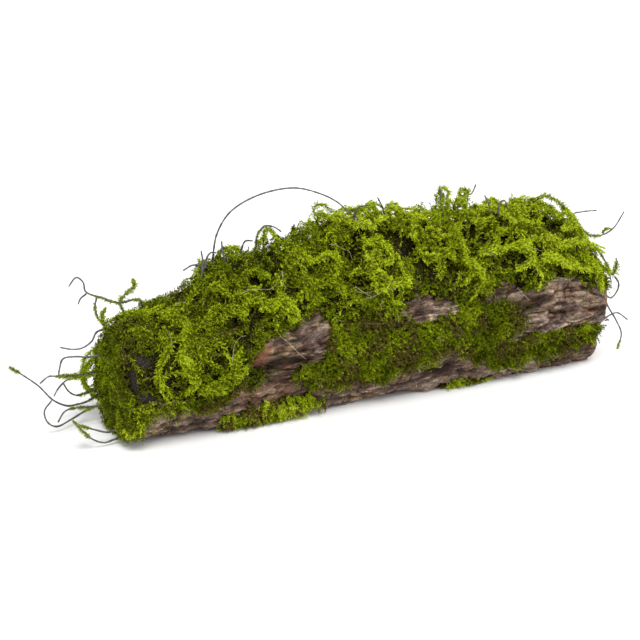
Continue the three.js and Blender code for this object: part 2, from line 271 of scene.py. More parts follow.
@dataclass(frozen=True)
class LogShape:
    """The outside of the bole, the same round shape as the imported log."""

    radius_mid: float = 54.0
    taper: float = 5.0
    crown: float = 9.0
    end_shoulder: float = 20.0
    stations: int = 30
    sides: int = 36

    def radius(self, x: Array, angle: Array) -> Array:
        """Return the bole's radius: a tapering circle, plus a crown, ridges and grooves.

        Args:
            x: Places along the log, in millimetres.
            angle: Angles round it, in degrees.

        Returns:
            The distance from the axis to the bark, before any bark relief: its left end has a
            worn shoulder high on the back.
        """
        x = np.clip(x, -HALF_LENGTH, HALF_LENGTH)
        turn = np.radians(angle)
        bole = self.radius_mid + self.taper * x / (2 * HALF_LENGTH)
        crown = self.crown * smooth_step(-230, -120, x) * np.maximum(0.0, np.sin(turn)) ** 2
        start = smooth_step(-136, -124, x)
        upper = (1.0 + 6.0 * start) * angle_bell(angle, 22, 22)
        ledge = 6.0 * start * (1.0 - smooth_step(-110, -50, x)) * angle_bell(angle, 30, 14)
        lower = 4.0 * angle_bell(angle, -48, 18)
        groove = (4.0 + 5.0 * smooth_step(60, 160, x)) * angle_bell(angle, -18, 11)
        back = 5.0 * angle_bell(angle, 158, 20) - 5.0 * angle_bell(angle, 196, 12)
        shoulder = self.end_shoulder * smooth_step(-185, -240, x) * angle_bell(angle, 150, 45)
        wobble = 1.4 * np.sin(x / 47.0 + 2.0 * turn)
        return bole + crown + upper + ledge + lower - groove + back - shoulder + wobble

    def lowest_y(self) -> float:
        """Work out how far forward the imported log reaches.

        Returns:
            Its least y, over its own stations and sides.
        """
        x = np.linspace(-HALF_LENGTH, HALF_LENGTH, self.stations + 1)[:, None]
        angle = np.arange(self.sides)[None, :] * 360.0 / self.sides - 90.0
        return float((-self.radius(x, angle) * np.cos(np.radians(angle))).min())


SHAPE = LogShape()


@dataclass(frozen=True)
class Placement:
    """Where the log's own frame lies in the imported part's frame."""

    shift: Span

    @classmethod
    def from_frame(cls) -> "Placement":
        """Return the placement that puts the log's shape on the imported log."""
        low, _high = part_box("log")
        return cls((low[0] / MM + HALF_LENGTH, low[1] / MM - SHAPE.lowest_y()))

    def to_metres(self, points: Array) -> Array:
        """Return points of the log's frame, in millimetres, as metres in the part's frame."""
        offset = np.array([self.shift[0], self.shift[1], 0.0])
        return (np.asarray(points, float) + offset) * MM


PLACEMENT = Placement.from_frame()


def on_log(x: Array, angle: Array, radius: Array) -> Array:
    """Return points at a radius from the log's axis.

    Args:
        x: Places along the log.
        angle: Angles round it, in degrees.
        radius: Distances from its axis.

    Returns:
        The points (x, -r cos a, axis height + r sin a).
    """
    x, angle, radius = np.broadcast_arrays(x, angle, radius)
    turn = np.radians(angle)
    return np.stack([x, -radius * np.cos(turn), AXIS_HEIGHT + radius * np.sin(turn)], -1)


def arc_reach(place: Array) -> Array:
    """Return the radius at which a turn round the log is measured as a length of moss."""
    return np.where(np.asarray(place) > -225.0, 90.0, 55.0)


def above_floor(points: Array, floor: float) -> Array:
    """Return the points with none lower than floor."""
    return np.concatenate([points[..., :2], np.maximum(points[..., 2:], floor)], -1)


def drawn_in(points: Array, margin: float = 5.0, give: float = 11.0) -> Array:
    """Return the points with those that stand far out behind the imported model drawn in.

    Past a knee, the extra distance y becomes give * tanh(y / give), so it never exceeds give.

    Args:
        points: Points in the log's frame.
        margin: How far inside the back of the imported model's box the knee lies.
        give: The furthest that a point may stand behind the knee.

    Returns:
        The moved copy.
    """
    knee = CAD_BOX[1][1] / MM - PLACEMENT.shift[1] - margin
    near = points.copy()
    extra = np.maximum(near[..., 1] - knee, 0.0)
    near[..., 1] = np.minimum(near[..., 1], knee) + give * np.tanh(extra / give)
    return near


# ---- meshes


@dataclass
class MeshData:
    """Arrays of a mesh in the log's frame, with any mix of faces.

    points has a row for each vertex, corners the vertex of every face corner in turn, sizes the
    number of corners of each face, and uv a row for each corner.
    """

    points: Array
    corners: Array
    sizes: Array
    uv: Array
    attributes: dict = field(default_factory=dict)

    @classmethod
    def of(cls, points: Array, faces: Array, uv: Array) -> "MeshData":
        """Return a mesh whose faces all have the same number of corners.

        Args:
            points: Vertices, in any shape that ends in three numbers.
            faces: Vertex numbers, in any shape that ends in the corners of one face.
            uv: Two numbers for each of those corners.

        Returns:
            The mesh.
        """
        size = faces.shape[-1]
        sizes = np.full(faces.size // size, size)
        return cls(points.reshape(-1, 3), faces.ravel(), sizes, uv.reshape(-1, 2))

    def triangle_count(self) -> int:
        """Return how many triangles the mesh has once its faces are split."""
        return int((self.sizes - 2).sum())


def joined(parts: list[MeshData]) -> MeshData:
    """Join several meshes.

    Args:
        parts: The meshes, without attributes.

    Returns:
        One mesh, with its faces renumbered.
    """
    starts = np.cumsum([0] + [len(part.points) for part in parts[:-1]])
    return MeshData(
        np.concatenate([part.points for part in parts]),
        np.concatenate([part.corners + start for part, start in zip(parts, starts)]),
        np.concatenate([part.sizes for part in parts]),
        np.concatenate([part.uv for part in parts]),
    )


def in_scene(name: str, data: bpy.types.ID) -> bpy.types.Object:
    """Put a new object into the scene.

    Args:
        name: Its name.
        data: The mesh, camera or light that it shows.

    Returns:
        The object, at the origin.
    """
    thing = bpy.data.objects.new(name, data)
    bpy.context.scene.collection.objects.link(thing)
    return thing


def make_object(name: str, data: MeshData, material: Material, smooth: bool) -> bpy.types.Object:
    """Build a Blender object from mesh arrays and link it to the scene.

    Args:
        name: The piece's name.
        data: Its mesh, in the log's frame.
        material: Its finish.
        smooth: Whether its faces are shaded smooth.

    Returns:
        The new object, at the origin.
    """
    mesh = bpy.data.meshes.new(name)
    points = PLACEMENT.to_metres(data.points)
    starts = np.concatenate([[0], np.cumsum(data.sizes)[:-1]]).astype(np.int32)
    mesh.vertices.add(len(points))
    mesh.vertices.foreach_set("co", points.ravel().astype(np.float32))
    mesh.loops.add(len(data.corners))
    mesh.loops.foreach_set("vertex_index", data.corners.astype(np.int32))
    mesh.polygons.add(len(data.sizes))
    mesh.polygons.foreach_set("loop_start", starts)
    mesh.polygons.foreach_set("use_smooth", np.full(len(data.sizes), smooth))
    layer = mesh.uv_layers.new(name=PALETTE_MAP)
    layer.data.foreach_set("uv", data.uv.ravel().astype(np.float32))
    for key, values in data.attributes.items():
        mesh.attributes.new(key, "FLOAT", "POINT").data.foreach_set("value", values.astype(np.float32))
    mesh.update(calc_edges=True)
    mesh.materials.append(material)
    return in_scene(name, mesh)


def grid_faces(rows: int, columns: int) -> Array:
    """Return the quads of a grid that closes on itself across its columns.

    Args:
        rows: Rings of points.
        columns: Points in each ring.

    Returns:
        An array (rows - 1, columns, 4) of point numbers, facing away from the axis.
    """
    row, column = np.meshgrid(np.arange(rows - 1), np.arange(columns), indexing="ij")
    after = (column + 1) % columns
    corners = [row * columns + column, (row + 1) * columns + column,
               (row + 1) * columns + after, row * columns + after]
    return np.stack(corners, -1)


def corner_uv(along: tuple, around: tuple) -> Array:
    """Return the UV pairs of many faces, from arrays of u and of v for each of their corners."""
    return np.stack([np.stack(np.broadcast_arrays(u, v), -1) for u, v in zip(along, around)], -2)


def map_round(angle: Array) -> Array:
    """Return the map's v for angles from -90 to 270 degrees, with a narrow margin either side."""
    return 0.01 + 0.98 * (angle + 90.0) / 360.0


def wrapped_skin(rings: Array, uv_along: Array, uv_round: Array, poles: tuple[Array, Array]) -> MeshData:
    """Return a closed skin: rings along the log, shut by a fan of triangles at each pole.

    Args:
        rings: Points (rows, columns, 3), each ring in order of rising angle.
        uv_along: A number for each ring.
        uv_round: columns + 1 numbers, the last closing the turn.
        poles: The two end points.

    Returns:
        The mesh, facing outwards.
    """
    rows, columns = rings.shape[:2]
    quads = grid_faces(rows, columns)
    low_v, high_v = uv_round[:-1], uv_round[1:]
    u_low, u_high = uv_along[:-1, None], uv_along[1:, None]
    quad_uv = corner_uv((u_low, u_high, u_high, u_low), (low_v, low_v, high_v, high_v))
    column = np.arange(columns)
    after = (column + 1) % columns
    first = rows * columns
    last = (rows - 1) * columns
    fans = np.concatenate([
        np.stack([np.full(columns, first), column, after], -1),
        np.stack([np.full(columns, first + 1), last + after, last + column], -1),
    ])
    middle = (low_v + high_v) / 2
    step = (uv_along[1] - uv_along[0]) / 2
    start, end = uv_along[0], uv_along[-1]
    fan_uv = np.concatenate([
        corner_uv((start - step, start, start), (middle, low_v, high_v)),
        corner_uv((end + step, end, end), (middle, high_v, low_v)),
    ])
    points = np.concatenate([rings.reshape(-1, 3), np.array(poles, float)])
    sizes = np.concatenate([np.full(quads[..., 0].size, 4), np.full(len(fans), 3)])
    corners = np.concatenate([quads.ravel(), fans.ravel()])
    uv = np.concatenate([quad_uv.reshape(-1, 2), fan_uv.reshape(-1, 2)])
    return MeshData(points, corners, sizes, uv)


def smooth_route(points: tuple, samples: int) -> Array:
    """Return a smooth curve through the given points.

    Each stretch is a cubic between two points. Its end tangents come from the points either
    side, weighted by the square roots of their distances, so that the curve never loops.

    Args:
        points: The points, at least two.
        samples: How many points the result has, evenly spaced by stretch.

    Returns:
        An array (samples, 3).
    """
    given = np.array(points, float)
    line = np.concatenate([[2 * given[0] - given[1]], given, [2 * given[-1] - given[-2]]])
    gap = np.maximum(np.linalg.norm(np.diff(line, axis=0), axis=1) ** 0.5, 1e-4)[:, None]
    before, after = line[:-2], line[2:]
    middle = line[1:-1]
    slope = ((middle - before) / gap[:-1] - (after - before) / (gap[:-1] + gap[1:])
             + (after - middle) / gap[1:])
    spot = np.linspace(0.0, len(given) - 1.0, samples)
    low = np.minimum(spot.astype(int), len(given) - 2)
    t = (spot - low)[:, None]
    width = gap[1:-1][low]
    start, end = given[low], given[low + 1]
    out, back = slope[low] * width, slope[low + 1] * width
    return ((2 * t**3 - 3 * t**2 + 1) * start + (t**3 - 2 * t**2 + t) * out
            + (3 * t**2 - 2 * t**3) * end + (t**3 - t**2) * back)


# ---- moss height


@dataclass(frozen=True)
class MossField:
    """How high the thick moss stands over the bark, where its hems run and how it clumps."""

    crest: tuple = (
        (-240, 52), (-200, 65), (-165, 75), (-150, 87), (-136, 103), (-85, 112), (-38, 125), (-20, 131),
        (30, 133), (50, 128), (62, 119), (76, 116), (92, 124), (118, 124), (130, 115), (150, 116),
        (190, 114), (205, 114), (214, 108), (222, 96), (230, 81), (240, 70),
    )
    hem_front: tuple = (
        (-240, -36), (-226, -18), (-202, -21), (-174, -24), (-161, -16), (-151, -7), (-143, 6),
        (-136, 24), (-118, 38), (-97, 40), (-78, 47), (-60, 50), (-40, 40), (8, 38), (18, 42), (32, 52),
        (46, 57), (56, 50), (70, 46), (80, 38), (92, 38), (100, 43), (120, 50), (134, 54), (143, 53),
        (149, 42), (158, 39), (172, 41), (178, 48), (190, 50), (200, 46), (213, 38), (226, 30),
        (240, 28),
    )
    hem_back: tuple = ((-240, 208), (-150, 214), (-60, 204), (20, 214), (110, 206), (240, 198))
    hem_share: float = 0.2
    end_depth: float = 8.0
    bare_depth: float = 0.8
    least_depth: float = 4.5
    clump_size: float = 29.0
    clumps_round: int = 19
    small_clump_size: float = 13.0
    small_clumps_round: int = 40
    hollow_share: float = 0.75
    gap_share: float = 0.80
    hollows: tuple = (
        (-228, 42, 7), (-232, 33, 9), (-247, 27, 9), (-246, 10, 10), (-226, 5, 8), (-272, -90, 8),
        (-255, -25, 7), (-197, 54, 6), (-179, 66, 7), (-182, 56, 6), (-144, 67, 7), (-182, 88, 6),
        (-178, 5, 7), (-160, -18, 7), (-20, 78, 7), (-19, 71, 6), (21, 85, 8), (36, 80, 11), (8, 65, 7),
        (-18, 60, 8), (-19, 52, 8), (46, 64, 9), (78, 96, 7), (-100, 76, 7), (-108, 64, 6),
        (-124, 79, 7), (-84, 88, 6), (104, 88, 8), (114, 84, 6), (104, 72, 8), (145, 78, 8),
        (193, 77, 8), (77, 59, 5), (110, 130, 11), (-48, 130, 11), (12, 155, 11), (-120, 145, 11),
        (150, 150, 11), (-200, 135, 9), (60, 140, 10), (200, 135, 9),
    )
    gaps: tuple = ((-233, 37, 4), (-230, 33, 4), (-246, 25, 6), (-245, 14, 6), (-234, 3, 5), (-228, 0, 4),
                   (39, 83, 6), (31, 76, 5), (46, 64, 6), (41, 59, 5), (14, 73, 4))

    def cover(self, x: Array, angle: Array) -> Array:
        """Return where the thick moss lies.

        Args:
            x: Places along the log.
            angle: Angles round it.

        Returns:
            1 inside the hems and over the left end, and 0 past them, with a soft and ragged edge.
        """
        ragged = 7.0 * fractal_noise(on_log(x, angle, 60.0) / 16.0, Pattern.HEM, 2)
        front = smooth_step(-5, 5, angle - along_line(self.hem_front, x) + ragged)
        back = smooth_step(5, -5, angle - along_line(self.hem_back, x) + ragged)
        over_end = smooth_step(-236, -244, x)
        return np.maximum(front * back, over_end)

    @staticmethod
    def pits(spots: tuple, x: Array, angle: Array) -> Array:
        """Return how near points lie to the middles of some spots.

        Args:
            spots: Each spot's place along the log, angle and width.
            x: Places along the log.
            angle: Angles round it.

        Returns:
            1 at the middle of each spot, falling round it as e to minus the square of the
            distance over the width.
        """
        deepest = np.zeros(np.broadcast(x, angle).shape)
        for place, turn, width in spots:
            arc = np.radians(np.asarray(angle) - turn) * arc_reach(place)
            away = ((np.asarray(x) - place) ** 2 + arc**2) / width**2
            deepest = np.maximum(deepest, np.exp(-away))
        return deepest

    def hollow(self, x: Array, angle: Array) -> Array:
        """Return how deep a point lies in the dark hollows between clumps, from 0 to 1."""
        return self.pits(self.hollows, x, angle)

    def gap(self, x: Array, angle: Array) -> Array:
        """Return how far inside the gaps a point lies, where no moss hides the dark felt."""
        return self.pits(self.gaps, x, angle)

    def dome(self, x: Array, angle: Array) -> Array:
        """Return how domed the moss is.

        Two sizes of irregular cells are used, and a cell's dome rises with the distance from its
        border.

        Args:
            x: Places along the log.
            angle: Angles round it.

        Returns:
            1 on top of a clump and 0 in the cleft between two.
        """
        x, angle = np.broadcast_arrays(np.asarray(x, float), np.asarray(angle, float))
        where = on_log(x, angle, 85.0)
        warp = 0.4 * fractal_noise(where / 38.0, Pattern.MOSS_WARP, 2)
        turn = ((angle + 90.0) / 360.0) % 1.0
        big = cell_pattern(x / self.clump_size + warp, turn * self.clumps_round - warp,
                           self.clumps_round, Pattern.BIG_CLUMPS)
        small = cell_pattern(x / self.small_clump_size + warp,
                             turn * self.small_clumps_round + 2.0 * warp,
                             self.small_clumps_round, Pattern.SMALL_CLUMPS)
        rise = smooth_step(0.0, 0.62, big.border) * (0.72 + 0.28 * big.value)
        return 0.78 * rise + 0.22 * smooth_step(0.0, 0.6, small.border)

    def depth(self, x: Array, angle: Array) -> Array:
        """Return the moss's height over the bark, with its clumps and hollows.

        The height is the crest's, times an arch from hem to hem, times the clumps' domes, less
        most of itself in each hollow and each gap.

        Args:
            x: Places along the log.
            angle: Angles round it.

        Returns:
            Heights in millimetres; past the hems, the bare depth.
        """
        start, end = along_line(self.hem_front, x) - 10, along_line(self.hem_back, x) + 10
        across = np.clip((angle - start) / (end - start), 0.0, 1.0)
        arch = self.hem_share + (1 - self.hem_share) * np.sin(np.pi * across) ** 0.85
        full = along_line(self.crest, x) - SHAPE.radius(x, CREST_ANGLE)
        body = np.maximum(full * arch, 6.0)
        body = np.where(np.asarray(x) < -HALF_LENGTH, self.end_depth, body)
        dome = self.dome(x, angle)
        lump = 0.54 + 0.54 * dome + 0.25 * angle_bell(angle, CREST_ANGLE, 32) * (1.0 - dome)
        height = body * lump * (1.0 - self.hollow_share * self.hollow(x, angle))
        height = np.maximum(height, self.least_depth) * (1.0 - self.gap_share * self.gap(x, angle))
        return np.maximum(height * self.cover(x, angle), self.bare_depth)


MOSS = MossField()


def freshness(x: Array) -> Array:
    """Return 0 at the left end, where the moss is older and darker, rising to 1 at the middle."""
    return smooth_step(-170, 0, x)


@dataclass(frozen=True)
class PilePatch:
    """A patch of short moss between a lower and an upper line of angles along the log."""

    piece: str
    node: str
    lower: tuple
    upper: tuple
    count: int
    length: Span
    tint: float

    def ends(self) -> Span:
        """Return the two places along the log between which the patch lies."""
        return self.upper[0][0], self.upper[-1][0]

    def cover(self, x: Array, angle: Array) -> Array:
        """Return where the patch lies.

        Args:
            x: Places along the log.
            angle: Angles round it.

        Returns:
            1 inside the patch and 0 outside, with a soft and ragged edge.
        """
        first, last = self.ends()
        ragged = 6.0 * fractal_noise(on_log(x, angle, 58.0) / 9.0, Pattern.PILE_EDGE, 3)
        inside = np.minimum(angle - along_line(self.lower, x), along_line(self.upper, x) - angle)
        inside = np.minimum(inside, np.minimum(np.asarray(x) - first, last - np.asarray(x)))
        return smooth_step(-4.0, 5.0, inside + ragged - 2.0)


PILES = (
    PilePatch(
        "moss_band_pile", "moss_front_band",
        ((-99, -3), (-92, -8), (-84, -17), (-64, -24), (-43, -28), (0, -28), (20, -24), (40, -18),
        (66, -10), (76, -8), (86, -17), (99, -25), (118, -34), (124, -34), (131, 5), (152, 10)),
        ((-99, 2), (-89, 8), (-79, 10), (-64, 13), (-58, 30), (-52, 52), (10, 46), (17, 36), (29, 29),
        (45, 31), (62, 32), (73, 34), (84, 44), (98, 42), (106, 38), (117, 33), (129, 33), (138, 28),
        (147, 17), (152, 13)),
        4300, (4.5, 9.5), 0.46),
    PilePatch(
        "moss_groove_pile", "moss_groove_right",
        ((114, -32), (135, -35), (150, -33), (171, -36), (185, -32), (212, -30), (241, -28)),
        ((114, -6), (128, -4), (140, -8), (153, -2), (186, 1), (210, 0), (241, 0)),
        1300, (4.5, 9.0), 0.44),
    # The ledge pile's low tint is partly the moss's own dark green and partly painted shade under the
    # ledge.
    PilePatch(
        "moss_ledge_pile", "moss_heap_left",
        ((-152, -14), (-134, -12), (-119, 0)),
        ((-152, 12), (-140, 16), (-128, 15), (-119, 8)),
        90, (4.0, 7.5), 0.36),
    PilePatch(
        "moss_fringe_pile_left", "moss_fringe_left",
        ((-162, -72), (-118, -68), (-100, -58), (-85, -50), (-56, -43)),
        ((-162, -36), (-148, -29), (-101, -26), (-73, -28), (-56, -35)),
        850, (5.0, 10.0), 0.66),
    PilePatch(
        "moss_fringe_pile_middle", "moss_fringe_middle",
        ((64, -72), (126, -72)),
        ((64, -48), (90, -40), (126, -44)),
        400, (5.0, 10.0), 0.64),
)


def pile_cover(x: Array, angle: Array) -> Array:
    """Return 1 where any patch of short moss lies and 0 elsewhere."""
    return np.max([patch.cover(x, angle) for patch in PILES], axis=0)


def over_moss(along: Array, angle: Array, height: Array) -> Array:
    """Return points a height above the bark, round the left end as well as along the side.

    Args:
        along: The place along the log; past the left end it goes on down the sawn face, so the
            end's centre is one radius further.
        angle: Angles round the log.
        height: Heights above the bark.

    Returns:
        The bark's point plus the height along a normal that turns over the sawn edge.
    """
    radius = SHAPE.radius(along, angle)
    past = -HALF_LENGTH - along
    share = np.clip(past / radius, 0.0, 0.97)
    lean = smooth_step(-9, 9, past) * np.pi / 2
    reach = np.where(past > 0, radius * (1 - share), radius) + height * np.cos(lean)
    x = np.maximum(along, -HALF_LENGTH) - height * np.sin(lean)
    return on_log(x, angle, reach)


# ---- moss shoots


DRY_LIMIT = 0.12
DRY_TINT = 0.06
HALF_TINT = 0.006
LEAF_FOOT = 0.12
SHOOT_CLEARANCE = 2.5
LEAF_CLEARANCE = 0.4


@dataclass(frozen=True)
class ShootStyle:
    """The build of one kind of moss shoot, in millimetres and degrees.

    A shoot is a stem with short barbs on all sides, and each barb carries small pointed leaves.
    """

    barbs: int
    leaves: int
    barb_length: float
    leaf_length: float
    leaf_width: float
    spread: float = 58.0
    leaf_spread: float = 40.0
    fluff: float = 75.0
    stem_width: float = 1.0
    nodes: int = 10


ROPE = ShootStyle(barbs=72, leaves=7, barb_length=5.2, leaf_length=2.15, leaf_width=1.05, fluff=85)
SWAG = ShootStyle(barbs=130, leaves=8, barb_length=4.9, leaf_length=1.9, leaf_width=0.95, fluff=90,
                  nodes=16)
THIN = ShootStyle(barbs=30, leaves=4, barb_length=3.0, leaf_length=2.0, leaf_width=0.9, nodes=8)
PILE = ShootStyle(barbs=9, leaves=3, barb_length=1.8, leaf_length=1.9, leaf_width=0.8, spread=45, nodes=4,
                  stem_width=0.5)


@dataclass
class Paths:
    """Shoots as lines of points, with the way up at each point and a tint for each shoot."""

    points: Array
    ups: Array
    tints: Array


def frames_along(paths: Paths) -> tuple[Array, Array, Array]:
    """Return the directions at every point of the paths.

    Args:
        paths: The shoots.

    Returns:
        The forward, sideways and upward unit vectors.
    """
    forward = unit(np.gradient(paths.points, axis=1))
    side = unit(np.cross(forward, paths.ups))
    return forward, side, np.cross(side, forward)


@dataclass
class Barbs:
    """The barbs of some shoots: where each starts, where it points, its length and its place."""

    root: Array
    direction: Array
    outward: Array
    length: Array
    place: Array


def barbs_on(paths: Paths, style: ShootStyle, rng: Chance) -> Barbs:
    """Return the barbs of every shoot.

    Barbs leave the stem to the left and right in turn, rolled round it by a random part of the
    fluff. They are longest about the middle of the shoot and shorten to its tip.

    Args:
        paths: The shoots.
        style: How they are built.
        rng: The source of chance.

    Returns:
        The barbs, as arrays (shoots, barbs, ...).
    """
    shoots, nodes = paths.points.shape[:2]
    size = (shoots, style.barbs)
    place = np.clip((np.arange(style.barbs) + rng.uniform(0.0, 1.0, size)) / style.barbs, 0.0, 0.999)
    spot = place * (nodes - 1)
    low = spot.astype(int)
    part = (spot - low)[..., None]
    row = np.arange(shoots)[:, None]
    root, forward, side, up = (
        values[row, low] * (1 - part) + values[row, low + 1] * part
        for values in (paths.points, *frames_along(paths)))
    hand = np.where(np.arange(style.barbs) % 2 == 0, 1.0, -1.0)[None, :]
    roll = np.radians(rng.normal(0.0, style.fluff, size))
    outward = unit(side * (hand * np.cos(roll))[..., None] + up * np.sin(roll)[..., None])
    spread = np.radians(style.spread + rng.normal(0.0, 10.0, size)) * (1.0 - 0.45 * place)
    direction = unit(forward * np.cos(spread)[..., None] + outward * np.sin(spread)[..., None])
    swell = 0.40 + 0.60 * np.sin(np.pi * np.clip(0.08 + place, 0.0, 1.0)) ** 0.7
    length = style.barb_length * swell * rng.uniform(0.65, 1.15, size)
    return Barbs(root, direction, outward, length, place)


def leaves_on(paths: Paths, style: ShootStyle, rng: Chance) -> MeshData:
    """Return every leaf of the shoots as one slim triangle that faces away from the stem.

    Args:
        paths: The shoots.
        style: How their leaves are built.
        rng: The source of chance.

    Returns:
        A mesh whose UV holds the place along the leaf and the leaf's tint.
    """
    barbs = barbs_on(paths, style, rng)
    size = (*barbs.length.shape, style.leaves)
    share = (np.arange(style.leaves) + rng.uniform(0.1, 0.9, size)) / style.leaves
    reach = (barbs.length[..., None] * share)[..., None]
    direction, outward = barbs.direction[:, :, None], barbs.outward[:, :, None]
    droop = np.array([0.0, 0.0, -0.18]) * share[..., None] * reach
    root = barbs.root[:, :, None] + direction * reach + droop
    around = rng.uniform(0.0, 2 * np.pi, size)[..., None]
    first = unit(np.cross(direction, outward))
    lean = first * np.cos(around) + np.cross(first, direction) * np.sin(around)
    tilt = np.radians(style.leaf_spread + rng.normal(0.0, 8.0, size))[..., None]
    along = unit(direction * np.cos(tilt) + lean * np.sin(tilt))
    facing = outward + 0.28 * rng.normal(0.0, 1.0, (*size, 3)) + np.array([0.0, 0.0, 0.3])
    across = unit(np.cross(facing, along))
    length = (style.leaf_length * rng.uniform(0.7, 1.2, size))[..., None]
    half = (style.leaf_width / 2 * rng.uniform(0.75, 1.2, size))[..., None]
    points = np.stack([root - across * half, root + across * half, root + along * length], -2)
    # Painted shade: leaves near the root of their barb, in the shoot's core, are tinted darker and those
    # near the barb's tip lighter.
    tint = paths.tints[:, None, None] + rng.normal(0.0, 0.035, size) + 0.26 * (share - 0.5)
    dry = (paths.tints < DRY_LIMIT)[:, None, None]
    tint = tint + 0.05 * (barbs.place[..., None] - 0.5)
    tint = np.clip(tint, np.where(dry, 0.01, 0.135), np.where(dry, 0.11, 0.985))
    uv = corner_uv((LEAF_FOOT, LEAF_FOOT, LEAF_FOOT + 0.8), (tint - HALF_TINT, tint + HALF_TINT, tint))
    faces = np.arange(points.size // 3).reshape(-1, 3)
    return MeshData.of(points, faces, uv)


def stems_of(paths: Paths, style: ShootStyle) -> MeshData:
    """Return the shoots' stems as narrow ribbons that taper to their tips.

    Args:
        paths: The shoots.
        style: Their stem width.

    Returns:
        A mesh whose UV holds the place along the stem and a stem's own low tint.
    """
    shoots, nodes = paths.points.shape[:2]
    _forward, side, _up = frames_along(paths)
    share = np.linspace(0.0, 1.0, nodes)
    half = (style.stem_width / 2 * (1.0 - 0.75 * share))[None, :, None]
    points = np.stack([paths.points - side * half, paths.points + side * half], 2)
    first = (np.arange(shoots)[:, None] * nodes + np.arange(nodes - 1)[None, :]) * 2
    faces = np.stack([first, first + 1, first + 3, first + 2], -1)
    tint = 0.02 + 0.05 * np.clip(paths.tints, 0, 1)[:, None]
    low, high = tint - HALF_TINT, tint + HALF_TINT
    start, end = 0.05 + 0.9 * share[:-1], 0.05 + 0.9 * share[1:]
    return MeshData.of(points, faces, corner_uv((start, start, end, end), (low, high, high, low)))


def shoots_mesh(paths: Paths, style: ShootStyle, rng: Chance) -> MeshData:
    """Return whole shoots, stems and leaves, clear of the surface that the log lies on.

    Args:
        paths: The shoots.
        style: How they are built.
        rng: The source of chance.

    Returns:
        One mesh of them all.
    """
    paths = Paths(above_floor(drawn_in(paths.points), SHOOT_CLEARANCE), paths.ups, paths.tints)
    mesh = joined([stems_of(paths, style), leaves_on(paths, style, rng)])
    mesh.points = above_floor(mesh.points, LEAF_CLEARANCE)
    return mesh


def shoots_through(routes: tuple, style: ShootStyle, tint: float) -> Paths:
    """Return shoots that follow the given routes.

    Args:
        routes: The routes, each a row of points.
        style: How many nodes a shoot has.
        tint: Their tint.

    Returns:
        One path for each route.
    """
    points = np.stack([smooth_route(route, style.nodes) for route in routes])
    ups = np.broadcast_to(unit(np.array([0.15, -0.6, 0.8])), points.shape)
    return Paths(points, ups, np.full(len(routes), tint))


@dataclass(frozen=True)
class Creep:
    """How shoots creep over the moss: their size, their heading and how they lie.

    loyalty is the least part of a shoot that lies inside the hems; shyness and hollow_limit say
    how far it may enter a gap and how deep in hollows it may lie; dry_share is the part of the
    shoots that are dry.
    """

    style: ShootStyle
    length: Span
    low: float
    high: float
    lift: Span
    downhill: float = 0.6
    bend: float = 0.8
    tint: float = 0.62
    arch: float = 3.0
    loyalty: float = 0.75
    shyness: float = 0.55
    hollow_limit: float = 0.42
    darkest: float = 0.18
    dry_share: float = 0.035

    def paths(self, along: Array, angle: Array, rng: Chance) -> Paths:
        """Return creeping paths from the given roots.

        Neighbours share a heading, which changes slowly over the moss and leans downhill; along
        a shoot it turns steadily with a wave in it. Its cosine and sine, summed along the shoot,
        give the steps along and round the log. The height follows the moss's, from a low share
        of it at the root to a high share at the tip, plus an arch. Shoots that stray past the
        moss's hems for more than a small part of their length are left out.

        Args:
            along: Root places along the log.
            angle: Root angles.
            rng: The source of chance.

        Returns:
            The paths in the log's frame.
        """
        count = len(along)
        nodes = self.style.nodes
        share = np.linspace(0.0, 1.0, nodes)[None, :]
        combed = 3.4 * fractal_noise(on_log(along, angle, 80.0) / 46.0, Pattern.COMBED, 2)
        combed = combed + rng.normal(0.0, 0.7, count)
        fall = np.where(angle < CREST_ANGLE, -1.0, 1.0) * self.downhill
        heading = np.arctan2(np.sin(combed) + fall, np.cos(combed))[:, None]
        turn = rng.normal(0.0, self.bend, (count, 1))
        wave = 0.55 * np.sin(2 * np.pi * share * rng.uniform(0.6, 1.4, (count, 1)) + combed[:, None])
        heading = heading + turn * share + wave
        length = rng.uniform(*self.length, count)[:, None]
        step = length / (nodes - 1)
        u = along[:, None] + np.cumsum(np.cos(heading), 1) * step
        reach = SHAPE.radius(along, angle) + MOSS.depth(along, angle)
        reach = np.maximum(reach + np.minimum(along + HALF_LENGTH, 0.0), 14.0)[:, None]
        a = angle[:, None] + np.degrees(np.cumsum(np.sin(heading), 1) * step / reach)
        moss = MOSS.depth(u, a)
        lift = rng.uniform(*self.lift, (count, 1))
        height = moss * (self.low + (self.high - self.low) * share**0.7) + lift * share
        height = height + self.arch * np.sin(np.pi * share) * rng.uniform(0.2, 1.0, (count, 1))
        points = over_moss(u, a, np.maximum(height, 1.0))
        above = over_moss(u, a, np.maximum(height, 1.0) + 5.0)
        middle = nodes // 2
        patch = 0.09 * fractal_noise(points[:, middle] / 34.0, Pattern.MOSS_TINT, 2)
        # Painted light and shade: shoots over clump tops get a lighter tint, those in the clefts a darker
        # one, and those in the hollows darker still.
        raised = 0.36 * (MOSS.dome(u[:, middle], a[:, middle]) - 0.55)
        fresh = freshness(u[:, middle])
        hollow_shade = (0.22 - 0.15 * fresh) * MOSS.hollow(u[:, middle], a[:, middle])
        tints = self.tint + 0.16 * fresh - 0.07 + patch + raised - hollow_shade + rng.normal(0.0, 0.04, count)
        tints = np.maximum(tints, self.darkest)
        tints = np.where(rng.uniform(0.0, 1.0, count) < self.dry_share, 0.07, tints)
        inside = (MOSS.cover(u, a) > 0.25) & (u < HALF_LENGTH + 6.0)
        keep = inside.mean(axis=1) > self.loyalty
        keep = keep & (MOSS.hollow(u, a).mean(axis=1) < self.hollow_limit)
        keep = keep & (MOSS.gap(u, a).max(axis=1) < self.shyness)
        return Paths(points[keep], unit(above - points)[keep], tints[keep])


